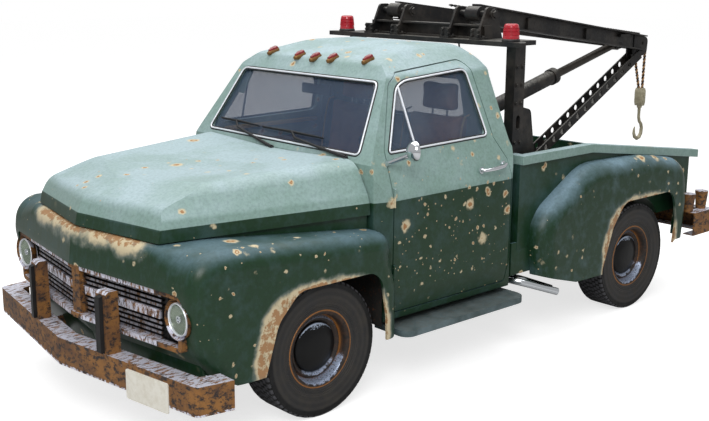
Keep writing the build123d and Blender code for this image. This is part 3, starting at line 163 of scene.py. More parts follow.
def noise(place, scale, detail, rough=0.6, stretch=None):
    if stretch:
        place = put("Mapping", {"Vector": place, "Scale": stretch}).outputs[0]
    settings = {"Vector": place, "Scale": scale, "Detail": detail, "Roughness": rough}
    return put("TexNoise", settings).outputs["Fac"]


def bumped(height, strength, distance):
    return put("Bump", {"Height": height, "Strength": strength, "Distance": distance}).outputs[0]


def chips(place, scale, fewest, largest, seed):
    """How deep inside a stone chip the point lies, 0 outside and 1 at its middle.

    Cells of 1/scale metres whose lot is over fewest hold one chip, up to largest cell widths in radius."""
    moved = put("Mapping", {"Vector": place, "Location": (seed, seed * 1.7, seed * 0.6)}).outputs[0]
    wave = put("TexNoise", {"Vector": moved, "Scale": scale * 4.0, "Detail": 3.0}).outputs["Color"]
    shift = put("VectorMath", {0: wave, 1: (0.5, 0.5, 0.5)}, operation="SUBTRACT").outputs[0]
    shift = put("VectorMath", {0: shift, "Scale": 0.3 / scale}, operation="SCALE").outputs[0]
    moved = put("VectorMath", {0: moved, 1: shift}, operation="ADD").outputs[0]
    cells = put("TexVoronoi", {"Vector": moved, "Scale": scale})
    lot = put("SeparateColor", {0: cells.outputs["Color"]}).outputs[0]
    reach = ramp(lot, fewest, 1.0, 0.001, largest)
    inside = calc("SUBTRACT", 1.0, calc("DIVIDE", cells.outputs["Distance"], reach))
    return times(calc("MAXIMUM", inside, 0.0), calc("GREATER_THAN", lot, fewest))


ARCH_POWER = 3.0           # roundness of a wheel arch as a superellipse
ARCH_WEAR = 0.056          # width of the worn lip round it


def arch_wear(place, centre, half_width, height):
    """A mask round a wheel arch: 1 at its edge, fading outwards. centre is (y, z) in the row frame."""
    sides = zip(xyz(place)[1:], centre, (half_width, height))
    powers = [calc("POWER", calc("DIVIDE", apart(part, middle), size), ARCH_POWER)
              for part, middle, size in sides]
    reach = calc("POWER", plus(*powers), 1 / ARCH_POWER)
    return ramp(reach, 1.0, 1.0 + ARCH_WEAR / height, 1.0, 0.0)


def front_arch(place):
    return arch_wear(place, (-0.036 - ORIGIN, 0.315), 0.425, 0.425)


def rear_arch(place):
    return arch_wear(place, (2.772 - ORIGIN, 0.33), 0.42, 0.462)


def nose_seam(place):
    """Primer rubbed bare along the hood's seam, widest left and right of the middle."""
    x, _, z = xyz(place)
    return times(ramp(z, 0.885, 1.0), ramp(apart(x), 0.45, 0.66, 1.0, 0.0))


TWO_TONE = 1.073           # height at which the light upper colour starts
GREEN = "#183620"
GREEN_FADED = "#4e6870"
SAGE = "#809b93"
SAGE_FADED = "#a2b6bb"
PRIMER = "#c6b898"
BARE = "#94612f"
# palm-sized, thumb-sized and gravel chips: cells per metre, share left whole, largest radius in cells, seed
CHIP_SIZES = ((6.5, 0.62, 0.32, 3.1), (13.0, 0.36, 0.36, 9.4), (42.0, 0.88, 0.26, 17.7))


def enamel(name, upper=None, wear=None, chipped=1.0, spread=0.42, bleached=GREEN_FADED, fades_from=0.25):
    """Old alkyd coach enamel, brushed and sun-bleached: chalky where it faces up, with stone chips through
    cream primer to a ring of rust, and primer rubbed bare along lips and seams."""
    made = start_material(name)
    place = coord("Object")
    cloud = noise(place, 2.6, 5.0, 0.6)
    fine = noise(place, 60.0, 4.0, 0.7)
    brushed = noise(place, 42.0, 3.0, 0.65, (1.0, 0.35, 0.35))
    up = ramp(xyz(coord("Normal"))[2], fades_from, 0.98)
    faded = times(up, ramp(cloud, 0.3, 0.62, 0.35, 0.95))
    faded = plus(faded, times(ramp(cloud, 0.45, 0.68), 0.24))
    faded = plus(faded, ramp(brushed, 0.35, 0.75, -0.05, 0.13))
    colour = blend(faded, GREEN, bleached)
    if upper is not None:
        line = ramp(xyz(place)[2], upper - 0.0015, upper + 0.0015)
        colour = blend(line, colour, blend(faded, SAGE, SAGE_FADED))
    colour = blend(ramp(fine, 0.35, 0.75, 0.0, 0.25), colour, "#5d6b62", "MULTIPLY")
    if wear:
        mask = wear(place)
        uneven = plus(mask, ramp(noise(place, 9.0, 4.0, 0.6), 0.25, 0.75, -0.42, 0.3))
        bare = times(ramp(uneven, 0.34, 0.86), ramp(mask, 0.02, 0.2))
        halo = times(ramp(uneven, 0.0, 0.5, 0.0, 0.45), ramp(mask, 0.0, 0.2))
        colour = blend(halo, colour, "#8b9188")
        spots = ramp(noise(place, 26.0, 4.0, 0.7), 0.3, 0.7, -0.2, 0.16)
        rust = ramp(plus(mask, spots), 0.88, 1.0, 0.0, 0.8)
        colour = blend(bare, colour, blend(rust, PRIMER, BARE))
    chip_total = 0.0
    where = ramp(noise(place, 1.9, 2.0), spread, spread + 0.1)
    for scale, fewest, largest, seed in CHIP_SIZES:
        inside = times(chips(place, scale, 1.0 - (1.0 - fewest) * chipped, largest, seed), where)
        colour = blend(ramp(inside, 0.02, 0.42), colour, PRIMER)
        ring = times(ramp(inside, 0.42, 0.56), ramp(inside, 0.70, 0.86, 1.0, 0.0))
        colour = blend(times(ring, 0.85), colour, BARE)
        chip_total = calc("MAXIMUM", chip_total, inside)
    gloss = ramp(plus(faded, ramp(chip_total, 0.0, 0.3)), 0.0, 1.0, 0.36, 0.62)
    height = calc("SUBTRACT", times(fine, 0.4), ramp(chip_total, 0.1, 0.5))
    return finish(made, Base_Color=colour, Roughness=gloss, Specular_IOR_Level=0.35,
                  Normal=bumped(height, 0.14, 0.0015))


def rusty_chrome(name, bars=0.0):
    """Nickel-chrome plate on pressed steel, lifted in flakes: lavender-white plate left on what faces up
    (there also painted reflection of the sky), orange-brown rust with near-black scale on the rest.
    bars is how much more plate a grille's bars keep; with bars, the gaps between them are painted
    near-black as shade."""
    made = start_material(name)
    place = coord("Object")
    up = xyz(coord("Normal"))[2]
    scale_spots = noise(place, 27.0, 6.0, 0.76, (1.0, 1.0, 1.5))
    rust = blend(ramp(noise(place, 7.0, 4.0), 0.35, 0.7), "#8d602d", "#5f3f25")
    rust = blend(ramp(scale_spots, 0.47, 0.60), rust, "#221d1e")
    flakes = noise(place, 60.0, 5.0, 0.75, (1.0, 0.3, 0.3))
    # more plate colour where faces turn up: partly real plate, partly painted reflection of the sky
    share = ramp(up, 0.25, 0.6, -0.16, 0.09)
    x, y, z = xyz(place)
    share = plus(share, ramp(z, 0.296, 0.306, 0.22, 0.0))
    if bars:
        out = apart(x)
        deep = calc("SUBTRACT", y, times(out, 0.135))
        within = times(ramp(out, 0.05, 0.06), ramp(out, 0.645, 0.655, 1.0, 0.0), calc("LESS_THAN", up, 0.9))
        share = plus(share, times(within, bars))
    plate = ramp(plus(flakes, share), 0.52, 0.60)
    colour = blend(plate, rust, "#d9dae8")
    # painted shade: the gaps behind the grille's bars turn near-black the deeper they lie
    if bars:
        colour = blend(ramp(deep, -0.905 - ORIGIN, -0.885 - ORIGIN), colour, "#0b0a0a")
    return finish(made, Base_Color=colour, Metallic=times(plate, 0.35),
                  Roughness=ramp(plate, 0.0, 1.0, 0.65, 0.4),
                  Normal=bumped(plus(scale_spots, plate), 0.3, 0.002))


def grimy_steel(name, colour, stain, rust, rough, metal, scale=6.0, dust_and_highlight=0.2):
    """Painted structural steel, rolled and welded, greasy and brushed with rust where it is handled, and
    lighter grey where it faces up, partly dusty and partly painted highlight.
    """
    made = start_material(name)
    place = coord("Object")
    cloud = noise(place, scale, 5.0, 0.65)
    fine = noise(place, scale * 9, 4.0, 0.7)
    mixed = blend(ramp(cloud, 0.38, 0.68), colour, stain)
    mixed = blend(ramp(fine, 0.62 - 0.2 * rust, 0.78 - 0.2 * rust, 0.0, min(1.0, rust * 2)), mixed, "#6d4223")
    up = xyz(coord("Normal"))[2]
    # lighter grey on what faces up: partly dusty, partly painted highlight
    mixed = blend(times(ramp(up, 0.4, 0.9, 0.0, dust_and_highlight), ramp(fine, 0.3, 0.65)), mixed, "#77756f")
    return finish(made, Base_Color=mixed, Metallic=metal,
                  Roughness=ramp(fine, 0.2, 0.8, rough - 0.12, rough + 0.18), Normal=bumped(fine, 0.2, 0.002))


def plain(name, colour, rough, metal, variation, scale=30.0, coat=0.0, bump=0.1, other="#000000"):
    """One even stuff with the slight unevenness of wear: colour, and what it darkens or lightens to."""
    made = start_material(name)
    place = coord("Object")
    cloud = noise(place, scale, 4.0, 0.65)
    mixed = blend(ramp(cloud, 0.35, 0.7, 0.0, variation), colour, other)
    return finish(made, Base_Color=mixed, Metallic=metal,
                  Roughness=ramp(cloud, 0.2, 0.8, rough * 0.85, rough * 1.15), Coat_Weight=coat,
                  Normal=bumped(cloud, bump, 0.001))


def see_through(name, tint_and_reflection, share):
    """Old toughened glass, smoke-blue, with a faint dusty haze on it; its part-opaque blue-grey layer is
    partly the glass's smoke colour and partly painted reflection of the sky.
    """
    made = start_material(name)
    place = coord("Object")
    haze = noise(place, 3.0, 4.0, 0.6)
    # painted reflection: part of the glass is an opaque blue-grey layer, lit like paint
    return finish(made, Base_Color=blend(ramp(haze, 0.35, 0.8, 0.0, 0.25), tint_and_reflection, "#8798a6"), Roughness=0.02,
                  IOR=1.5, Alpha=ramp(haze, 0.35, 0.8, share, share + 0.05))


LUGS, RIB_WIDTH = 60, 0.026            # blocks round the tread, and the width of one row of them
RING_STEP, DUST_STEP = 0.012, 0.034    # spacing of the moulded rings and of the bands of dust


def tyre_rubber():
    """Vulcanised rubber: dusty side walls with moulded rings about the bead, and blocks across the tread
    whose grooves are painted near-black as shade.

    The UV map holds the turn about the axle as u and the radius in metres as v."""
    made = start_material("vulcanised_tyre_rubber")
    turn, radius = xyz(coord("UV"))[:2]
    place = coord("Object")
    out = calc("DIVIDE", apart(apart(xyz(place)[0]), WHEEL_X), RIB_WIDTH)
    tread = ramp(radius, 0.322, 0.332)
    rings = calc("SINE", times(radius, math.tau / RING_STEP))
    rings = times(rings, ramp(radius, 0.212, 0.218), ramp(radius, 0.252, 0.26, 1.0, 0.0))
    along = calc("FRACT", plus(times(turn, LUGS), times(calc("FLOOR", out), 0.5)))
    lug = times(ramp(apart(along, 0.5), 0.28, 0.36, 1.0, 0.0),
                ramp(apart(calc("FRACT", out), 0.5), 0.38, 0.46, 1.0, 0.0))
    grime = noise(place, 14.0, 5.0, 0.7)
    fine = noise(place, 160.0, 3.0, 0.7)
    wall = blend(ramp(grime, 0.35, 0.7), "#1f1f20", "#322f2b")
    # painted shade: near-black grooves between the lighter blocks of the tread
    crown = blend(lug, "#020203", "#46464a")
    height = plus(times(rings, 1.3), times(lug, tread, 4.0))
    height = plus(height, times(fine, 0.25))
    dusty = calc("SINE", times(radius, math.tau / DUST_STEP))
    wall = blend(ramp(dusty, -0.6, 1.0, 0.0, 0.09), wall, "#5d5550")
    return finish(made, Base_Color=blend(tread, wall, crown), Roughness=ramp(grime, 0.3, 0.7, 0.48, 0.7),
                  Specular_IOR_Level=0.4, Normal=bumped(height, 0.6, 0.0015))


def rusted_rim():
    """Pressed wheel steel: brown paint gone to rust on the rolled edges, and blue-white plate where it faces
    up, partly real plate and partly painted reflection of the sky.

    v of the UV map is the radius in metres."""
    made = start_material("pressed_wheel_steel")
    radius = xyz(coord("UV"))[1]
    place = coord("Object")
    up = xyz(coord("Normal"))[2]
    cloud = noise(place, 30.0, 5.0, 0.7)
    fine = noise(place, 120.0, 4.0, 0.7)
    base = blend(ramp(cloud, 0.4, 0.68), "#17110d", "#3d2616")
    edge = 0.0
    for ring, width in ((0.2085, 0.010), (0.172, 0.008)):
        edge = calc("MAXIMUM", edge, ramp(apart(radius, ring), 0.0, width, 1.0, 0.0))
    base = blend(times(edge, ramp(fine, 0.3, 0.6, 0.6, 1.0)), base, "#a0682f")
    # painted reflection: plate colour where the dish faces up, as though it mirrored the sky
    plate_and_reflection = times(ramp(plus(times(up, 0.55), times(cloud, 0.5)), 0.47, 0.55), ramp(fine, 0.36, 0.5),
                  calc("LESS_THAN", radius, 0.2))
    return finish(made, Base_Color=blend(plate_and_reflection, base, "#9aa6bd"), Metallic=times(plate_and_reflection, 0.5),
                  Roughness=ramp(plate_and_reflection, 0.0, 1.0, 0.6, 0.36), Normal=bumped(fine, 0.35, 0.001))


def cap_enamel():
    """Black stove enamel on a plated hub cap, with plate in a broken band where the rolled edge faces up; its
    blue-white colour there is painted reflection of the sky.
    """
    made = start_material("stoved_hub_cap")
    radius = xyz(coord("UV"))[1]
    up = xyz(coord("Normal"))[2]
    fine = noise(coord("Object"), 70.0, 4.0, 0.7)
    # painted reflection: plate shows in the band only where the rolled edge faces up
    band = times(ramp(radius, 0.094, 0.098), ramp(radius, 0.128, 0.131, 1.0, 0.0))
    band = times(band, ramp(plus(up, times(fine, 0.3)), 0.5, 0.56))
    return finish(made, Base_Color=blend(band, "#0f0f10", "#b4c0d4"), Metallic=times(band, 0.7),
                  Roughness=0.35, Specular_IOR_Level=0.2, Normal=bumped(fine, 0.08, 0.001))


def tail_pipe():
    """Exhaust steel, scaled and brown under the floor, with a bright chrome tip behind the cab."""
    made = start_material("exhaust_pipe_steel")
    place = coord("Object")
    fine = noise(place, 40.0, 5.0, 0.7)
    tip = calc("GREATER_THAN", xyz(place)[1], 1.52 - ORIGIN)
    scaled = blend(ramp(fine, 0.4, 0.65), "#4a3d33", "#7d4f2c")
    return finish(made, Base_Color=blend(tip, scaled, "#d4d8dc"), Metallic=ramp(tip, 0.0, 1.0, 0.3, 1.0),
                  Roughness=ramp(tip, 0.0, 1.0, 0.7, 0.14), Normal=bumped(fine, 0.1, 0.001))


material = {
    "green_paint": enamel("coach_enamel_green", chipped=0.8),
    "door_paint": enamel("coach_enamel_two_tone_door", TWO_TONE, chipped=1.35, spread=0.3),
    "front_fender_paint": enamel("coach_enamel_green_front_arch", wear=front_arch, chipped=1.2, spread=0.36),
    "rear_fender_paint": enamel("coach_enamel_green_rear_arch", wear=rear_arch, chipped=1.0,
                                bleached="#718b98", fades_from=0.05),
    "nose_paint": enamel("coach_enamel_green_nose", wear=nose_seam, chipped=0.7),
    "sage_paint": enamel("coach_enamel_two_tone", TWO_TONE, chipped=0.85),
    "all_sage_paint": enamel("coach_enamel_sage", 0.0, chipped=0.6),
    "chassis_paint": grimy_steel("chassis_black_paint", "#1b1b1a", "#2c2823", 0.35, 0.7, 0.0),
    "board_paint": grimy_steel("running_board_steel", "#3a4a4b", "#5b6c70", 0.05, 0.5, 0.0, 5.0, 0.35),
    # mast paint: much lighter grey on faces up, partly dusty, partly painted highlight
    "mast_paint": grimy_steel("mast_black_paint", "#121214", "#34302c", 0.14, 0.45, 0.2, dust_and_highlight=0.75),
    "worn_chrome": rusty_chrome("rusty_chrome_plate"),
    "grille_chrome": rusty_chrome("rusty_chrome_grille", bars=0.24),
    "bright_trim": plain("polished_stainless_trim", "#eef2f8", 0.32, 0.35, 0.05, 20.0),
    "clean_chrome": plain("bright_chrome_plate", "#dcdfe4", 0.1, 1.0, 0.1, 20.0, other="#8b8b88"),
    "rim_paint": rusted_rim(),
    "cap_enamel": cap_enamel(),
    "pipe_steel": tail_pipe(),
    "cast_iron": plain("sand_cast_iron", "#2b2927", 0.6, 0.5, 0.3),
    "tyre_rubber": tyre_rubber(),
    "trim_rubber": plain("moulded_rubber", "#08080a", 0.6, 0.0, 0.2, other="#2b2927"),
    "window_glass": see_through("toughened_glass", "#42526a", 0.38),
    "lamp_glass": see_through("pressed_lamp_glass", "#aebdb0", 0.12),
    "reflector": plain("silvered_reflector", "#96a191", 0.2, 1.0, 0.3, 30.0, other="#46543f"),
    "red_lens": plain("ribbed_red_acrylic", "#b31d2c", 0.22, 0.0, 0.25, 40.0, 0.4, other="#5d0c0f"),
    "lamp_red": plain("clear_red_acrylic", "#7d0a10", 0.15, 0.0, 0.3, 60.0, 0.5, other="#2c0406"),
    "brass": plain("tarnished_brass", "#8a6438", 0.5, 0.6, 0.5, 90.0, other="#3d2a18"),
    "seat_hide": plain("creased_seat_leather", "#b47a55", 0.45, 0.0, 0.5, 12.0, 0.0, 0.15, "#6e4730"),
    "door_card": plain("ribbed_door_card_leather", "#86604a", 0.6, 0.0, 0.4, 14.0, 0.0, 0.2, "#4a3427"),
    "piping": plain("rubbed_leather_piping", "#cfae72", 0.6, 0.0, 0.3, 80.0, other="#2c1f18"),
    "dash_paint": plain("dash_enamel", "#4f594f", 0.4, 0.0, 0.2),
    "wheel_plastic": plain("moulded_phenolic", "#1d1b19", 0.3, 0.0, 0.2),
    "dial": plain("gauge_face_paint", "#d8d4c4", 0.5, 0.0, 0.3, 80.0, other="#8d876f"),
    "plate_paint": plain("number_plate_enamel", "#e6e3d8", 0.45, 0.0, 0.3, 26.0, other="#b6ab90"),
    "bright_steel": plain("ground_steel_rod", "#4a4641", 0.4, 0.8, 0.4, 16.0, other="#26221e"),
    "hook_paint": plain("painted_hook_steel", "#a9a288", 0.5, 0.0, 0.6, 24.0, other="#6d6450"),
    "rope_tan": plain("manila_strand", "#b98d5c", 0.85, 0.0, 0.6, 90.0, 0.0, 0.6, "#6b4a2c"),
    "rope_dark": plain("greased_strand", "#2a2220", 0.8, 0.0, 0.5, 90.0, 0.0, 0.6, "#4d3a2c"),
    "wire": plain("galvanised_wire_rope", "#5b5a57", 0.5, 0.8, 0.5, 200.0, 0.0, 0.5, "#2a2826"),
}


# ---------------------------------------------------------------- making pieces
def placed(name, data):
    """The data as an object of the scene."""
    thing = bpy.data.objects.new(name, data)
    scene.collection.objects.link(thing)
    return thing


def finished(name, bm, look, body="chassis", smooth=35.0):
    """The mesh as an object that rides on its body, facing outwards, with edges over smooth degrees sharp."""
    bmesh.ops.remove_doubles(bm, verts=bm.verts, dist=1e-5)
    bmesh.ops.recalc_face_normals(bm, faces=bm.faces)
    limit = math.radians(smooth)
    for edge in bm.edges:
        edge.smooth = len(edge.link_faces) == 2 and edge.calc_face_angle(0.0) < limit
    for face in bm.faces:
        face.smooth = True
    mesh = bpy.data.meshes.new(name)
    bm.to_mesh(mesh)
    bm.free()
    mesh.materials.append(material[look])
    thing = placed(name, mesh)
    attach(thing, body)
    return thing


def skin(node, look, width):
    """A CAD node's own shape, merged, with its edges rounded by width."""
    bm = bmesh.new()
    bm.from_mesh(frame["nodes"][node].data)
    thing = finished(node + "_skin", bm, look, body_of_node[node])
    rounding = thing.modifiers.new("rounding", "BEVEL")
    rounding.width = width
    rounding.segments = 2
    rounding.angle_limit = math.radians(50)
    rounding.harden_normals = True
    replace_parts(thing, node)


slot_of = {row["node"]: row["material_slot"] for row in frame["record"]["subparts"]}
LOOK_OF = dict(front_fenders="front_fender_paint", rear_fenders="rear_fender_paint", nose_panel="nose_paint",
               cab_body="sage_paint", cab_roof="all_sage_paint", door_left="door_paint",
               door_right="door_paint", hood="sage_paint", bed_rails="all_sage_paint",
               running_boards="board_paint", exhaust="pipe_steel", hook="hook_paint",
               rear_bumper="worn_chrome", grille="grille_chrome")
ROUNDED = dict(front_bumper=0.003, bumper_guards=0.004, mast=0.003, rear_bumper=0.003, bed_rails=0.004)
for node in frame["nodes"]:
    look = LOOK_OF.get(node, slot_of[node])
    if node in ROUNDED:
        skin(node, look, ROUNDED[node])
    else:
        for place in frame["nodes"][node].material_slots:
            place.material = material[look]


def turned(bm, outline, centre, steps, axis=(1, 0, 0)):
    """An outline of (along the axis, radius) pairs turned a full circle about the axis."""
    axis = Vector(axis).normalized()
    outward = across(axis)[0]
    points = [bm.verts.new(centre + axis * along + outward * reach) for along, reach in outline]
    lines = [bm.edges.new(pair) for pair in zip(points, points[1:])]
    bmesh.ops.spin(bm, geom=points + lines, cent=centre, axis=axis, angle=math.tau, steps=steps,
                   use_merge=True, use_duplicate=False)
    bmesh.ops.remove_doubles(bm, verts=bm.verts, dist=1e-5)


def across(direction):
    """Two directions square to this one and to each other."""
    direction = Vector(direction).normalized()
    spare = Vector((0, 0, 1)) if abs(direction.z) < 0.9 else Vector((0, 1, 0))
    side = direction.cross(spare).normalized()
    return side, direction.cross(side).normalized()


def edges_of(points):
    return list({e for v in points for e in v.link_edges})


def tube(bm, points, radius, sides):
    """A round bar through the points, closed at its ends; radius is one value or one for each point."""
    radii = radius if isinstance(radius, (list, tuple)) else [radius] * len(points)
    rings = []
    normal = across(points[1] - points[0])[0]
    for i, point in enumerate(points):
        before, after = points[max(i - 1, 0)], points[min(i + 1, len(points) - 1)]
        way = (after - before).normalized()
        normal = (normal - way * normal.dot(way)).normalized()
        turn = Matrix((normal, way.cross(normal), way)).transposed().to_4x4()
        turn.translation = point
        ring = bmesh.ops.create_circle(bm, segments=sides, radius=radii[i], matrix=turn)["verts"]
        rings.append(edges_of(ring))
    for low, high in zip(rings, rings[1:]):
        bmesh.ops.bridge_loops(bm, edges=low + high)
    for ring in (rings[0], rings[-1]):
        bmesh.ops.edgenet_fill(bm, edges=ring)


def slab(bm, corners, push, width, segments=2):
    """A flat outline pushed along a direction into a solid, with its edges rounded by width."""
    face = bm.faces.new([bm.verts.new(c) for c in corners])
    made = bmesh.ops.extrude_face_region(bm, geom=[face])["geom"]
    moved = [g for g in made if isinstance(g, bmesh.types.BMVert)]
    bmesh.ops.translate(bm, verts=moved, vec=Vector(push))
    if width:
        edges = list({e for v in moved for f in v.link_faces for e in f.edges})
        bmesh.ops.bevel(bm, geom=edges, offset=width, segments=segments, profile=0.5,
                        affect="EDGES", material=-1)


def block(bm, x, y, z, width):
    """A rounded block between station limits."""
    corners = [(x[0], y[0], z[0]), (x[1], y[0], z[0]), (x[1], y[1], z[0]), (x[0], y[1], z[0])]
    slab(bm, stations(corners), (0, 0, z[1] - z[0]), width)


def bolt(bm, place, way, size, height):
    """A hexagon head on its washer."""
    way = Vector(way)
    tube(bm, [place, place + way * height * 0.3], size * 1.4, 10)
    tube(bm, [place + way * height * 0.3, place + way * height], [size, size * 0.92], 6)


def round_uv(thing, centre):
    """UV of a round piece: the turn about the axle's line as u and the radius in metres as v."""
    mesh = thing.data
    layer = mesh.uv_layers.new(name="round")
    for face in mesh.polygons:
        middle = Vector(face.center) - centre
        base = math.atan2(middle.z, middle.y)
        for corner in face.loop_indices:
            spot = mesh.vertices[mesh.loops[corner].vertex_index].co - centre
            turn = math.atan2(spot.z, spot.y) - base
            turn = (turn + math.pi) % math.tau - math.pi
            layer.data[corner].uv = ((base + turn) / math.tau, math.hypot(spot.y, spot.z))


# ---------------------------------------------------------------- wheels and tyres
# outlines as distance along the axle from the wheel's middle, and radius
TYRE_STEPS = 40
TYRE_OUTLINE = [(0.081, 0.1905), (0.0945, 0.222), (0.1072, 0.285), (0.104, 0.3455), (0.091, 0.365)]
RIM_OUTLINE = [(-0.090, 0.211), (-0.082, 0.190), (0.080, 0.190), (0.083, 0.203), (0.088, 0.2105),
               (0.0915, 0.207), (0.087, 0.190), (0.078, 0.181), (0.050, 0.178), (0.036, 0.170),
               (0.046, 0.164), (0.052, 0.158), (0.050, 0.150), (0.036, 0.139), (0.030, 0.125), (0.030, 0.050)]
CAP_OUTLINE = [(0.032, 0.134), (0.040, 0.1345), (0.046, 0.131), (0.050, 0.122), (0.056, 0.106),
               (0.061, 0.094), (0.066, 0.070), (0.069, 0.035), (0.070, 0.001)]


def tyre(name, side, at):
    """Cross-ply tyre: bulged side walls with beads on the rim, and shoulder blocks parted by grooves."""
    bm = bmesh.new()
    centre = station(side * WHEEL_X, at, AXLE_Z)
    outline = TYRE_OUTLINE + [(-along, reach) for along, reach in reversed(TYRE_OUTLINE)]
    turned(bm, outline + outline[:1], centre, TYRE_STEPS)
    blocks = [f for f in bm.faces if 0.09 < abs(f.calc_center_median().x - centre.x) < 0.1
              and (f.calc_center_median() - centre).length > 0.35]
    bmesh.ops.inset_individual(bm, faces=blocks, thickness=0.005, depth=0.0035)
    thing = finished(f"{name}_rubber", bm, "tyre_rubber", body=name.replace("tyre", "wheel"), smooth=30)
    round_uv(thing, centre)
    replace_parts(thing, name)


def wheel(name, side, at):
    """Pressed wheel: rolled rim, stepped dish, and a domed black cap."""
    centre = station(side * WHEEL_X, at, AXLE_Z)
    for label, outline, look in (("rim", RIM_OUTLINE, "rim_paint"), ("cap", CAP_OUTLINE, "cap_enamel")):
        bm = bmesh.new()
        turned(bm, [(side * along, reach) for along, reach in outline], centre, 72)
        thing = finished(f"{name}_{label}", bm, look, name, 50)
        round_uv(thing, centre)
        if label == "rim":
            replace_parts(thing, name)


for end, at in (("front", 0.0), ("rear", WHEELBASE)):
    for word, side in SIDES:
        tyre(f"tyre_{end}_{word}", side, at)
        wheel(f"wheel_{end}_{word}", side, at)


# ---------------------------------------------------------------- lamps
LAMP_AT = (0.795, -0.815, 0.687)
LAMP_LAYERS = {
    "bucket": ([(-0.012, 0.0985), (-0.008, 0.0975), (0.022, 0.0895), (0.030, 0.0760), (0.034, 0.0740)],
               "worn_chrome"),
    "bezel": ([(0.034, 0.0800), (0.004, 0.0815), (-0.004, 0.0800), (-0.007, 0.0765), (-0.003, 0.0735),
               (0.004, 0.0725)], "bright_trim"),
    "lens": ([(0.004, 0.0740), (-0.006, 0.0700), (-0.016, 0.0540), (-0.023, 0.0300), (-0.025, 0.001)],
             "lamp_glass"),
    "bowl": ([(0.004, 0.0735), (0.016, 0.0640), (0.032, 0.0430), (0.040, 0.0220), (0.041, 0.001)],
             "reflector"),
    "bulb": ([(0.040, 0.020), (0.006, 0.020), (0.0, 0.0175), (0.0, 0.012), (0.010, 0.010), (0.012, 0.001)],
             "clean_chrome"),
}
for word, side in SIDES:
    centre = station(side * LAMP_AT[0], *LAMP_AT[1:])
    for label, (outline, look) in LAMP_LAYERS.items():
        bm = bmesh.new()
        turned(bm, outline, centre, 64, (0, 1, 0))
        piece = finished(f"headlamp_{label}_{word}", bm, look, smooth=50)
        if label == "bezel" and side == 1:
            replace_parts(piece, "headlamps")

bm = bmesh.new()
bm.from_mesh(frame["nodes"]["cab_roof"].data)
roof = BVHTree.FromBMesh(bm)
bm.free()
ROOF_LAMPS = ((-0.43, 0.722), (-0.15, 0.704), (0.0, 0.700), (0.15, 0.704), (0.43, 0.722))
ROOF_LAMP_LAYERS = (
    ("lens", [(-0.034, 0.001), (-0.030, 0.009), (-0.006, 0.0165), (0.026, 0.0165), (0.036, 0.012),
              (0.040, 0.001)], 0.017, "lamp_red"),
    ("foot", [(-0.046, 0.001), (-0.042, 0.011), (-0.010, 0.0205), (0.030, 0.0200), (0.042, 0.013),
              (0.046, 0.001)], 0.004, "brass"),
)
for i, (x, y) in enumerate(ROOF_LAMPS):
    seat = roof.ray_cast(station(x, y, 2.2), Vector((0, 0, -1)))[0]
    for label, outline, rise, look in ROOF_LAMP_LAYERS:
        bm = bmesh.new()
        turned(bm, outline, seat + Vector((0, -0.3, 1)).normalized() * rise, 24, (0, 1, 0.3))
        lamp = finished(f"roof_lamp_{label}_{i + 1}", bm, look, smooth=45)
        if i == 0 and label == "lens":
            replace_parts(lamp, "roof_lamps")

BEACON_AT = (0.725, 1.604)
BEACON_LAYERS = (
    ("foot", [(1.862, 0.001), (1.862, 0.054), (1.870, 0.0545), (1.878, 0.051), (1.880, 0.049)], "mast_paint"),
    ("dome", [(1.879, 0.0495), (1.886, 0.050), (1.9, 0.0475), (1.901, 0.0495), (1.922, 0.0475),
              (1.923, 0.0452), (1.924, 0.0472), (1.944, 0.0452), (1.945, 0.043), (1.946, 0.0448),
              (1.960, 0.0425), (1.966, 0.037), (1.968, 0.028), (1.968, 0.001)], "red_lens"),
)
for word, side in SIDES:
    for label, outline, look in BEACON_LAYERS:
        bm = bmesh.new()
        turned(bm, outline, station(side * BEACON_AT[0], BEACON_AT[1], 0), 48, (0, 0, 1))
        if label == "dome":
            ribs = [f for f in bm.faces if f.calc_area() > 1e-4 and abs(f.normal.z) < 0.4]
            bmesh.ops.inset_individual(bm, faces=ribs, thickness=0.0012, depth=0.0018)
        lamp = finished(f"beacon_{label}_{word}", bm, look, smooth=25)
        if side == 1 and label == "dome":
            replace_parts(lamp, "beacons")


# ---------------------------------------------------------------- window trim
def rounded(points, reach, steps=5):
    """A closed outline with each corner swept round from reach before it to reach after it."""
    path = []
    for i, corner in enumerate(points):
        r = reach[i] if isinstance(reach, (list, tuple)) else reach
        start = corner + (points[i - 1] - corner).normalized() * r
        end = corner + (points[(i + 1) % len(points)] - corner).normalized() * r
        for k in range(steps + 1):
            t = k / steps
            path.append(start * (1 - t) ** 2 + corner * 2 * t * (1 - t) + end * t ** 2)
    return path


def trim(name, path, normal, width, height, look, body="chassis", out=0.0):
    """A half-round strip along a closed path, width across and standing height proud of its plane."""
    normal = Vector(normal).normalized()
    bm = bmesh.new()
    rings = []
    for i, point in enumerate(path):
        way = (path[(i + 1) % len(path)] - path[i - 1]).normalized()
        side = way.cross(normal).normalized()
        turn = Matrix((side * width / 2, normal * height, way)).transposed().to_4x4()
        turn.translation = point + normal * out
        ring = bmesh.ops.create_circle(bm, segments=8, radius=1.0, matrix=turn)["verts"]
        rings.append(edges_of(ring))
    for low, high in zip(rings, rings[1:] + rings[:1]):
        bmesh.ops.bridge_loops(bm, edges=low + high)
    finished(name, bm, look, body, 60)


DOOR_LEAN = 0.3724
DOOR_OUT, DOOR_UP = 0.937, 0.349     # the door glass faces outwards and up by so much
SHIELD_WAY = (0, -0.861, 0.5087)


def door_point(side, y, z, out=0.0):
    """A point on a door's window plane, pushed out by so much."""
    x = 0.798 - DOOR_LEAN * (z - 1.316)
    return station(side * (x + out * DOOR_OUT), y, z + out * DOOR_UP)


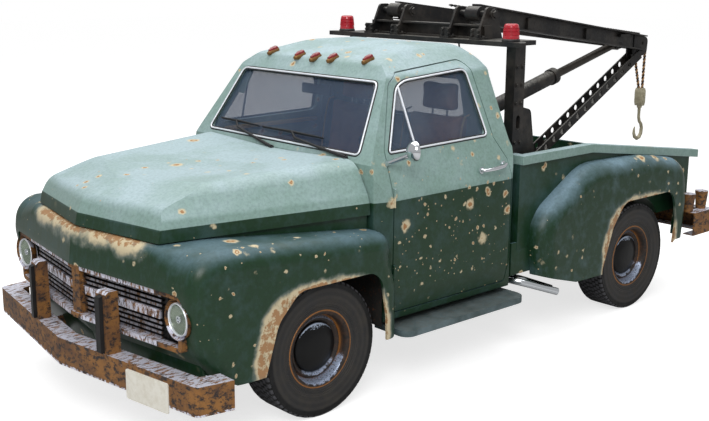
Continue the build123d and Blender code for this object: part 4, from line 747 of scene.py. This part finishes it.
WINDOW = [((0.541, 1.322), 0.02), ((0.702, 1.652), 0.04), ((0.778, 1.682), 0.03), ((1.284, 1.716), 0.045),
          ((1.338, 1.338), 0.030)]
SHIELD = [(0.693, 0.416, 1.308), (0.605, 0.634, 1.677), (-0.605, 0.634, 1.677), (-0.693, 0.416, 1.308)]
BACK_GLASS = [(0.500, 1.362), (0.470, 1.640)]
outline = rounded(stations(SHIELD), 0.036)
trim("windshield_seal", outline, SHIELD_WAY, 0.026, 0.004, "trim_rubber", out=0.001)
trim("windshield_trim", outline, SHIELD_WAY, 0.012, 0.006, "bright_trim", out=0.003)
for word, side in SIDES:
    way = (side * DOOR_OUT, 0, DOOR_UP)
    corners = [door_point(side, *p) for p, r in WINDOW]
    outline = rounded(corners, [r for p, r in WINDOW])
    trim(f"door_seal_{word}", outline, way, 0.024, 0.004, "trim_rubber", body=f"door_{word}")
    trim(f"door_trim_{word}", outline, way, 0.011, 0.006, "bright_trim",
         f"door_{word}", 0.003)
    bm = bmesh.new()
    tube(bm, [door_point(side, 0.717, 1.655, 0.002), door_point(side, 0.743, 1.330, 0.002)], 0.0065, 10)
    finished(f"vent_post_{word}", bm, "bright_trim", f"door_{word}")
back = [*BACK_GLASS, *[(-x, z) for x, z in reversed(BACK_GLASS)]]
outline = rounded([station(x, 1.519 - 0.1 * (z - 1.3), z) for x, z in back], 0.06)
trim("back_window_seal", outline, (0, 1, 0.1), 0.030, 0.007, "trim_rubber")


# ---------------------------------------------------------------- handles, mirror and wipers
DOOR_HANDLE = [(0.862, 1.214, 1.155), (0.886, 1.216, 1.156), (0.897, 1.235, 1.157), (0.899, 1.31, 1.159),
               (0.897, 1.375, 1.163), (0.893, 1.398, 1.172), (0.862, 1.400, 1.170)]
for word, side in SIDES:
    bm = bmesh.new()
    tube(bm, stations(DOOR_HANDLE, side), [0.014, 0.010, 0.010, 0.013, 0.012, 0.011, 0.015], 12)
    for y, z in ((1.214, 1.155), (1.400, 1.170)):
        tube(bm, stations([(0.864, y, z), (0.871, y, z)], side), 0.019, 16)
    finished(f"door_handle_{word}", bm, "clean_chrome", f"door_{word}")

MIRROR_ARM = [(0.790, 0.505, 1.262), (0.815, 0.507, 1.270), (0.850, 0.520, 1.285), (0.905, 0.536, 1.310),
              (0.950, 0.545, 1.332), (0.962, 0.549, 1.345)]
MIRROR_HEAD = [(-0.036, 0.001), (-0.033, 0.018), (-0.024, 0.036), (-0.010, 0.050), (0.004, 0.0555),
               (0.010, 0.0550), (0.0105, 0.051), (0.008, 0.049), (0.008, 0.001)]
bm = bmesh.new()
tube(bm, stations(MIRROR_ARM), [0.017, 0.017, 0.015, 0.013, 0.012, 0.012], 14)
finished("mirror_arm", bm, "clean_chrome", body_of_node["mirror"])
bm = bmesh.new()
turned(bm, MIRROR_HEAD, station(0.966, 0.552, 1.352), 48, (0.25, 1, 0))
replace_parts(finished("mirror_head", bm, "clean_chrome", body_of_node["mirror"]), "mirror")

# foot, bend and elbow of the arm, start and end of the blade
WIPERS = (((-0.014, 0.387, 1.262), (-0.379, 0.403, 1.345), (-0.42, 0.424, 1.377), (-0.596, 0.436, 1.378),
           (-0.209, 0.432, 1.370)),
          ((0.616, 0.400, 1.284), (0.169, 0.402, 1.343), (0.113, 0.423, 1.375), (-0.176, 0.431, 1.369),
           (0.378, 0.429, 1.366)))
for i, rows in enumerate(WIPERS):
    foot, bend, elbow, start, end = stations(rows)
    bm = bmesh.new()
    tube(bm, [foot + Vector((0, -0.004, -0.012)), foot + Vector((0, -0.014, 0.014))], 0.014, 16)
    tube(bm, [foot + Vector((0, -0.012, 0.010)), foot.lerp(bend, 0.5), bend, elbow],
         [0.011, 0.0085, 0.0075, 0.006], 8)
    back = (end - start).normalized()
    for share in (0.12, 0.37, 0.63, 0.88):
        clip = start.lerp(end, share)
        tube(bm, [clip - back * 0.012, clip + back * 0.012], 0.005, 8)
    tube(bm, [start, start.lerp(end, 0.5) + Vector((0, -0.006, 0.004)), end], [0.004, 0.007, 0.004], 8)
    finished(f"wiper_arm_{i + 1}", bm, "trim_rubber")
    bm = bmesh.new()
    edge = Vector(SHIELD_WAY) * -0.011
    tube(bm, [start + edge, start.lerp(end, 0.5) + edge, end + edge], 0.0045, 6)
    finished(f"wiper_blade_{i + 1}", bm, "trim_rubber")


# ---------------------------------------------------------------- seats
SEAT_AT = 0.370
BLOWN_FRAMES = 20
# outline in y and z, half the width, how far the stuffing swells it
PADS = {
    "seat_base": ([(0.960, 0.640), (1.330, 0.640), (1.330, 0.800), (0.960, 0.800)], 0.210, 0.0),
    "cushion": ([(0.892, 0.822), (1.335, 0.822), (1.335, 0.925), (1.10, 0.918), (0.892, 0.930)],
                0.238, 0.022),
    "backrest": ([(1.262, 0.950), (1.375, 0.935), (1.424, 1.425), (1.345, 1.440)], 0.224, 0.022),
    "headrest": ([(1.352, 1.447), (1.422, 1.447), (1.422, 1.608), (1.356, 1.608)], 0.130, 0.014),
}


def evaluated(thing):
    """The object's mesh with its modifiers applied."""
    return bpy.data.meshes.new_from_object(thing.evaluated_get(bpy.context.evaluated_depsgraph_get()))


def inflated(mesh, limit):
    """The mesh's cover blown out from inside as cloth, no point moving further than limit."""
    temp = placed("pad_work", mesh)
    weave = temp.modifiers.new("weave", "REMESH")
    weave.mode = "VOXEL"
    weave.voxel_size = 0.012
    still = evaluated(temp)
    temp.modifiers.clear()
    temp.data = still
    start = [v.co.copy() for v in still.vertices]
    cover = temp.modifiers.new("cover", "CLOTH")
    cover.settings.use_pressure = True
    cover.settings.uniform_pressure_force = 4.0
    cover.settings.effector_weights.gravity = 0.0
    cover.settings.quality = 4
    cover.point_cache.frame_end = BLOWN_FRAMES
    for step in range(1, BLOWN_FRAMES + 1):
        scene.frame_set(step)
    still = evaluated(temp)
    for vertex, origin in zip(still.vertices, start):
        moved = vertex.co - origin
        if moved.length > limit:
            vertex.co = origin + moved.normalized() * limit
    scene.frame_set(1)
    bpy.data.objects.remove(temp)
    return still


for label, (corners, half, limit) in PADS.items():
    bm = bmesh.new()
    slab(bm, [station(SEAT_AT - half, y, z) for y, z in corners], (2 * half, 0, 0), 0.018, 3)
    if limit:
        source = bpy.data.meshes.new(label)
        bm.to_mesh(source)
        bm.free()
        bm = bmesh.new()
        bm.from_mesh(inflated(source, limit))
    for word, side in SIDES:
        copy = bm.copy()
        if side < 0:
            bmesh.ops.scale(copy, vec=(-1, 1, 1), verts=copy.verts)
        look = "seat_hide" if limit else "chassis_paint"
        piece = finished(f"{label}_{word}", copy, look, smooth=60)
        if limit:
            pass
        elif side > 0:
            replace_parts(piece, "seats")
    bm.free()

BACK_EDGE = [(1.262, 0.945), (1.275, 1.10), (1.300, 1.26), (1.322, 1.37), (1.345, 1.425), (1.385, 1.435)]
for word, side in SIDES:
    bm = bmesh.new()
    for x in (-0.243, 0.243):
        tube(bm, [station(side * SEAT_AT + x, y, z) for y, z in BACK_EDGE], 0.006, 8)
        tube(bm, [station(side * SEAT_AT + x * 1.04, y, 0.938) for y in (0.885, 1.0, 1.15, 1.30)], 0.006, 8)
    finished(f"seat_piping_{word}", bm, "piping")
for word, side in SIDES:
    bm = bmesh.new()
    for x in (SEAT_AT - 0.06, SEAT_AT + 0.06):
        tube(bm, stations([(x, 1.384, 1.40), (x, 1.388, 1.50)], side), 0.006, 10)
    finished(f"headrest_posts_{word}", bm, "clean_chrome")


# ---------------------------------------------------------------- cab fittings
DOOR_PULL = [(0.797, 0.93, 1.02), (0.757, 0.94, 1.02), (0.752, 1.02, 1.02), (0.757, 1.10, 1.02),
             (0.797, 1.11, 1.02)]
DOOR_SILL = [(0.790, 1.262), (0.745, 1.262), (0.742, 1.285), (0.770, 1.294)]
DOOR_CARD = [(0.560, 0.520), (1.420, 0.520), (1.430, 1.180), (1.375, 1.270), (0.560, 1.270)]
DASH_WAY = (0, 1, -0.06)
GAUGES = ((0.29, 1.115), (0.38, 1.125), (0.47, 1.115))
for word, side in SIDES:
    bm = bmesh.new()
    slab(bm, stations([(0.812, y, z) for y, z in DOOR_CARD], side), (-side * 0.016, 0, 0), 0.005)
    finished(f"door_card_{word}", bm, "door_card", f"door_{word}")
    bm = bmesh.new()
    slab(bm, stations([(x, 0.575, z) for x, z in DOOR_SILL], side), (0, 0.775, 0), 0.005)
    tube(bm, stations(DOOR_PULL, side), 0.013, 12)
    finished(f"door_sill_and_pull_{word}", bm, "piping", f"door_{word}")
for name, outline, look, steps in (
        ("gauge_rings", [(0.012, 0.043), (-0.002, 0.043), (-0.006, 0.040), (-0.006, 0.036), (0.002, 0.034)],
         "clean_chrome", 40),
        ("gauge_faces", [(0.010, 0.041), (0.000, 0.036), (-0.001, 0.001)], "dial", 32)):
    bm = bmesh.new()
    for x, z in GAUGES:
        turned(bm, outline, station(x, 0.694, z), steps, DASH_WAY)
    finished(name, bm, look)
bm = bmesh.new()
for x in (-0.30, -0.22, -0.14, 0.12):
    turned(bm, [(-0.012, 0.006), (0.010, 0.006), (0.014, 0.014), (0.024, 0.015), (0.029, 0.011),
                (0.030, 0.001)], station(x, 0.692, 1.10), 24, DASH_WAY)
block(bm, (-0.62, -0.36), (0.682, 0.694), (1.02, 1.15), 0.004)
finished("dash_knobs_and_glovebox", bm, "wheel_plastic")
bm = bmesh.new()
tube(bm, stations([(0, 0.80, 0.66), (0, 0.83, 0.80), (0.02, 0.88, 0.96), (0.04, 0.92, 1.02)]),
     [0.012, 0.009, 0.008, 0.008], 10)
turned(bm, [(-0.022, 0.001), (-0.018, 0.013), (0.0, 0.021), (0.016, 0.014), (0.021, 0.001)],
       station(0.045, 0.93, 1.035), 24, (0.2, 0.4, 0.6))
finished("gear_lever", bm, "wheel_plastic")
bm = bmesh.new()
block(bm, (-0.13, 0.13), (0.700, 0.716), (1.555, 1.615), 0.008)
tube(bm, stations([(0, 0.706, 1.60), (0, 0.690, 1.66), (0, 0.676, 1.705)]), 0.007, 10)
finished("inner_mirror", bm, "trim_rubber")
bm = bmesh.new()
block(bm, (-0.122, 0.122), (0.7155, 0.7175), (1.561, 1.609), 0.0008)
finished("inner_mirror_face", bm, "clean_chrome")


# ---------------------------------------------------------------- wrecker gear
PIVOT, TIP = (1.712, 2.012), (4.085, 1.712)   # y and z of the boom's pin and of its sheave
BOOM_ROPE = [(0, PIVOT[0] + 0.14, PIVOT[1] + 0.04), (0, TIP[0] - 0.01, TIP[1] + 0.071)]
COIL_TURNS, COIL_STEPS, COIL_HALF, COIL_R = 16, 24, 0.135, 0.068
DRUM = (1.990, 0.790)            # y and z of the winch drum
FALL_R, WIRE_R = 0.0058, 0.0042  # from a rope's middle to that of its strands


def rope(bm, points, radius, turns_per_metre, phase):
    """One strand of a twisted rope, wound about the line through the points."""
    path = []
    gone = 0.0
    for start, end in zip(points, points[1:]):
        way = (end - start).normalized()
        side, other = across(way)
        length = (end - start).length
        count = max(2, int(length * turns_per_metre * 10))
        for k in range(count + (end is points[-1])):
            along = length * k / count
            angle = math.tau * turns_per_metre * (gone + along) + phase
            path.append(start + way * along + (side * math.cos(angle) + other * math.sin(angle)) * radius)
        gone += length
    tube(bm, path, radius * 1.12, 6)


HOOK_Y = TIP[0] + 0.056
FALLS = (((0.010, TIP[0] + 0.0705, TIP[1] + 0.010), (0.012, HOOK_Y + 0.004, 1.336)),
         ((-0.010, TIP[0] - 0.064, TIP[1] - 0.030), (-0.012, HOOK_Y - 0.006, 1.336)))
for phase, look in ((0.0, "rope_tan"), (math.pi, "rope_dark")):
    bm = bmesh.new()
    for fall in FALLS:
        rope(bm, stations(fall), FALL_R, 20.0, phase)
    strand = finished(f"hoist_falls_{look[5:]}", bm, look, "hook", 80)
    if phase == 0.0:
        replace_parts(strand, "hook")
bm = bmesh.new()
slab(bm, [station(0.034, HOOK_Y + y, z) for y, z in
          [(-0.020, 1.205), (0.020, 1.205), (0.030, 1.235), (0.030, 1.322), (0.018, 1.348), (-0.018, 1.348),
           (-0.030, 1.322), (-0.030, 1.235)]], (-0.068, 0, 0), 0.005)
turned(bm, [(-0.044, 0.001), (-0.044, 0.012), (-0.036, 0.016), (0.036, 0.016), (0.044, 0.012),
            (0.044, 0.001)], station(0, HOOK_Y, 1.29), 24)
tube(bm, [station(0, HOOK_Y, z) for z in (1.212, 1.190, 1.185, 1.150)], [0.020, 0.020, 0.013, 0.012], 16)
bow = [(0.0, 1.16), (0.0, 1.11), (0.012, 1.077), (0.038, 1.053), (0.050, 1.020), (0.044, 0.975),
       (0.022, 0.946), (-0.010, 0.938), (-0.040, 0.953), (-0.056, 0.985), (-0.055, 1.012), (-0.048, 1.037)]
tube(bm, [station(0, HOOK_Y + y, z) for y, z in bow],
     [0.0115, 0.012, 0.0125, 0.013, 0.0135, 0.0145, 0.0155, 0.0155, 0.014, 0.0115, 0.009, 0.004], 14)
finished("hook_and_block", bm, "hook_paint", "hook", 60)

bm = bmesh.new()
for phase in (0.0, math.pi):
    rope(bm, stations(BOOM_ROPE), WIRE_R, 14.0, phase)
finished("boom_wire_rope", bm, "wire", "boom", 80)
bm = bmesh.new()
coil = []
for k in range(COIL_TURNS * COIL_STEPS + 1):
    angle = math.tau * k / COIL_STEPS
    x = COIL_HALF * (2 * k / (COIL_TURNS * COIL_STEPS) - 1)
    coil.append(station(x, DRUM[0] + COIL_R * math.cos(angle), DRUM[1] + COIL_R * math.sin(angle)))
tube(bm, coil, 0.0075, 6)
tube(bm, [coil[-1], *stations([(0.085, 2.030, 0.86), (0.080, 1.865, 1.80), (0.075, 1.845, 1.96)])], 0.006, 8)
finished("winch_wire_rope", bm, "wire", smooth=80)

bm = bmesh.new()
for side in (1, -1):
    for x in (0.225, 0.470):
        for out in (-0.024, 0.024):
            bolt(bm, station(side * x + out, 1.620, 1.874), (0, 0, 1), 0.011, 0.011)
            for z in (1.888, 1.915):
                bolt(bm, station(side * x + out, 1.574, z), (0, -1, 0), 0.010, 0.010)
    for x, way in ((0.500, 1), (0.195, -1)):
        bolt(bm, station(side * x, *PIVOT), (side * way, 0, 0), 0.024, 0.014)
    for z in (1.25, 1.49, 1.60, 1.71):
        for y in (1.662, 1.712):
            bolt(bm, station(side * 0.735, y, z), (side, 0, 0), 0.011, 0.010)
    for x in (0.645, 0.755):
        for y in (1.66, 1.715, 1.81):
            bolt(bm, station(side * x, y, 0.654), (0, 0, 1), 0.011, 0.010)
finished("mast_bolts", bm, "mast_paint")


# ---------------------------------------------------------------- sheets under the body
# corners on the left as x, y, z; thickness as a push; rounding of the edges; paint
SHEETS = {
    "front_valance": ([(0, -0.868, 0.520), (0.860, -0.752, 0.520), (0.860, -0.712, 0.300),
                       (0, -0.802, 0.300)], (0, 0.022, 0), 0.006, "green_paint"),
    "bed_skirts": ([(0.806, 1.556, 0.655), (0.806, 2.300, 0.655), (0.806, 2.300, 0.450),
                    (0.806, 1.556, 0.450)], (0.024, 0, 0), 0.005, "green_paint"),
    "hood_side_aprons": ([(0.643, -0.500, 0.994), (0.797, 0.380, 0.929), (0.797, 0.380, 1.024),
                          (0.643, -0.500, 1.024)], (-0.004, 0, 0), 0.0, "green_paint"),
    "wheel_well_splash_sheets": ([(0.465, 0.445, 0.380), (0.850, 0.445, 0.380), (0.850, 0.445, 0.830),
                                  (0.465, 0.445, 0.830)], (0, 0.004, 0), 0.0, "chassis_paint"),
}
for name, (corners, push, rounding, look) in SHEETS.items():
    bm = bmesh.new()
    slab(bm, stations(corners), push, rounding)
    bmesh.ops.mirror(bm, geom=bm.verts[:] + bm.edges[:] + bm.faces[:], axis="X", merge_dist=-1)
    finished(name, bm, look)


# ---------------------------------------------------------------- floor, light and camera
PAPER, PAPER_GLOW = "#c4c4c4", 0.72


def studio_paper():
    """Matt paper, a little brighter to the camera so that it meets the white background."""
    made = start_material("studio_paper")
    paper = put("BsdfDiffuse", {"Color": linear(PAPER)})
    glow = put("Emission", {"Strength": times(put("LightPath").outputs["Is Camera Ray"], PAPER_GLOW)})
    put("OutputMaterial", {0: put("AddShader", {0: paper.outputs[0], 1: glow.outputs[0]}).outputs[0]})
    return made


bm = bmesh.new()
bmesh.ops.create_grid(bm, x_segments=1, y_segments=1, size=40.0)
mesh = bpy.data.meshes.new("studio_floor")
bm.to_mesh(mesh)
bm.free()
mesh.materials.append(studio_paper())
floor = placed("studio_floor", mesh)

SKY, WHITE_SKY = 0.5, 1.0   # strength of the white world in the light it gives, and where it is seen
world = start_nodes(bpy.data.worlds.new("studio"))
scene.world = world
path = put("LightPath").outputs
seen = calc("MAXIMUM", path["Is Camera Ray"], path["Is Transmission Ray"])
strength = put("MapRange", {"Value": seen, "To Min": SKY, "To Max": WHITE_SKY}).outputs["Result"]
background = put("Background", {"Color": linear("#ffffff"), "Strength": strength})
put("OutputWorld", {0: background.outputs[0]})


def softbox(name, place, aim, size, power):
    lamp = bpy.data.lights.new(name, "AREA")
    lamp.shape = "RECTANGLE"
    lamp.size, lamp.size_y = size
    lamp.energy = power
    thing = placed(name, lamp)
    thing.location = place
    thing.rotation_euler = (Vector(aim) - Vector(place)).to_track_quat("-Z", "Y").to_euler()


softbox("key", (5.5, -6.5, 6.5), (0, 0, 0.8), (4, 4), 430)
softbox("top", (-1.0, 0.5, 7.5), (0, 0, 0), (8, 8), 520)

EYE = Vector((4.7845, -3.3588 - ORIGIN, 2.2822))
YAW, PITCH, ROLL = 0.857116, -0.219734, 0.00112
FOCAL_PIXELS, CENTRE = 1056.08, (326.04, 204.73)
FRAME_SIZE = (709, 421)
ahead = Vector((-math.sin(YAW) * math.cos(PITCH), math.cos(YAW) * math.cos(PITCH), math.sin(PITCH)))
right = ahead.cross(Vector((0, 0, 1))).normalized()
upward = right.cross(ahead)
rolled = Matrix.Rotation(-ROLL, 3, ahead)
right, upward = rolled @ right, rolled @ upward
lens = bpy.data.cameras.new("camera")
lens.sensor_fit = "HORIZONTAL"
lens.sensor_width = 36.0
lens.lens = lens.sensor_width * FOCAL_PIXELS / FRAME_SIZE[0]
lens.shift_x = (FRAME_SIZE[0] / 2 - CENTRE[0]) / FRAME_SIZE[0]
lens.shift_y = (CENTRE[1] - FRAME_SIZE[1] / 2) / FRAME_SIZE[0]
lens.clip_end = 200.0
camera = placed("camera", lens)
camera.matrix_world = Matrix((right, upward, -ahead)).transposed().to_4x4()
camera.location = EYE
scene.camera = camera
scene.view_settings.view_transform = "Standard"
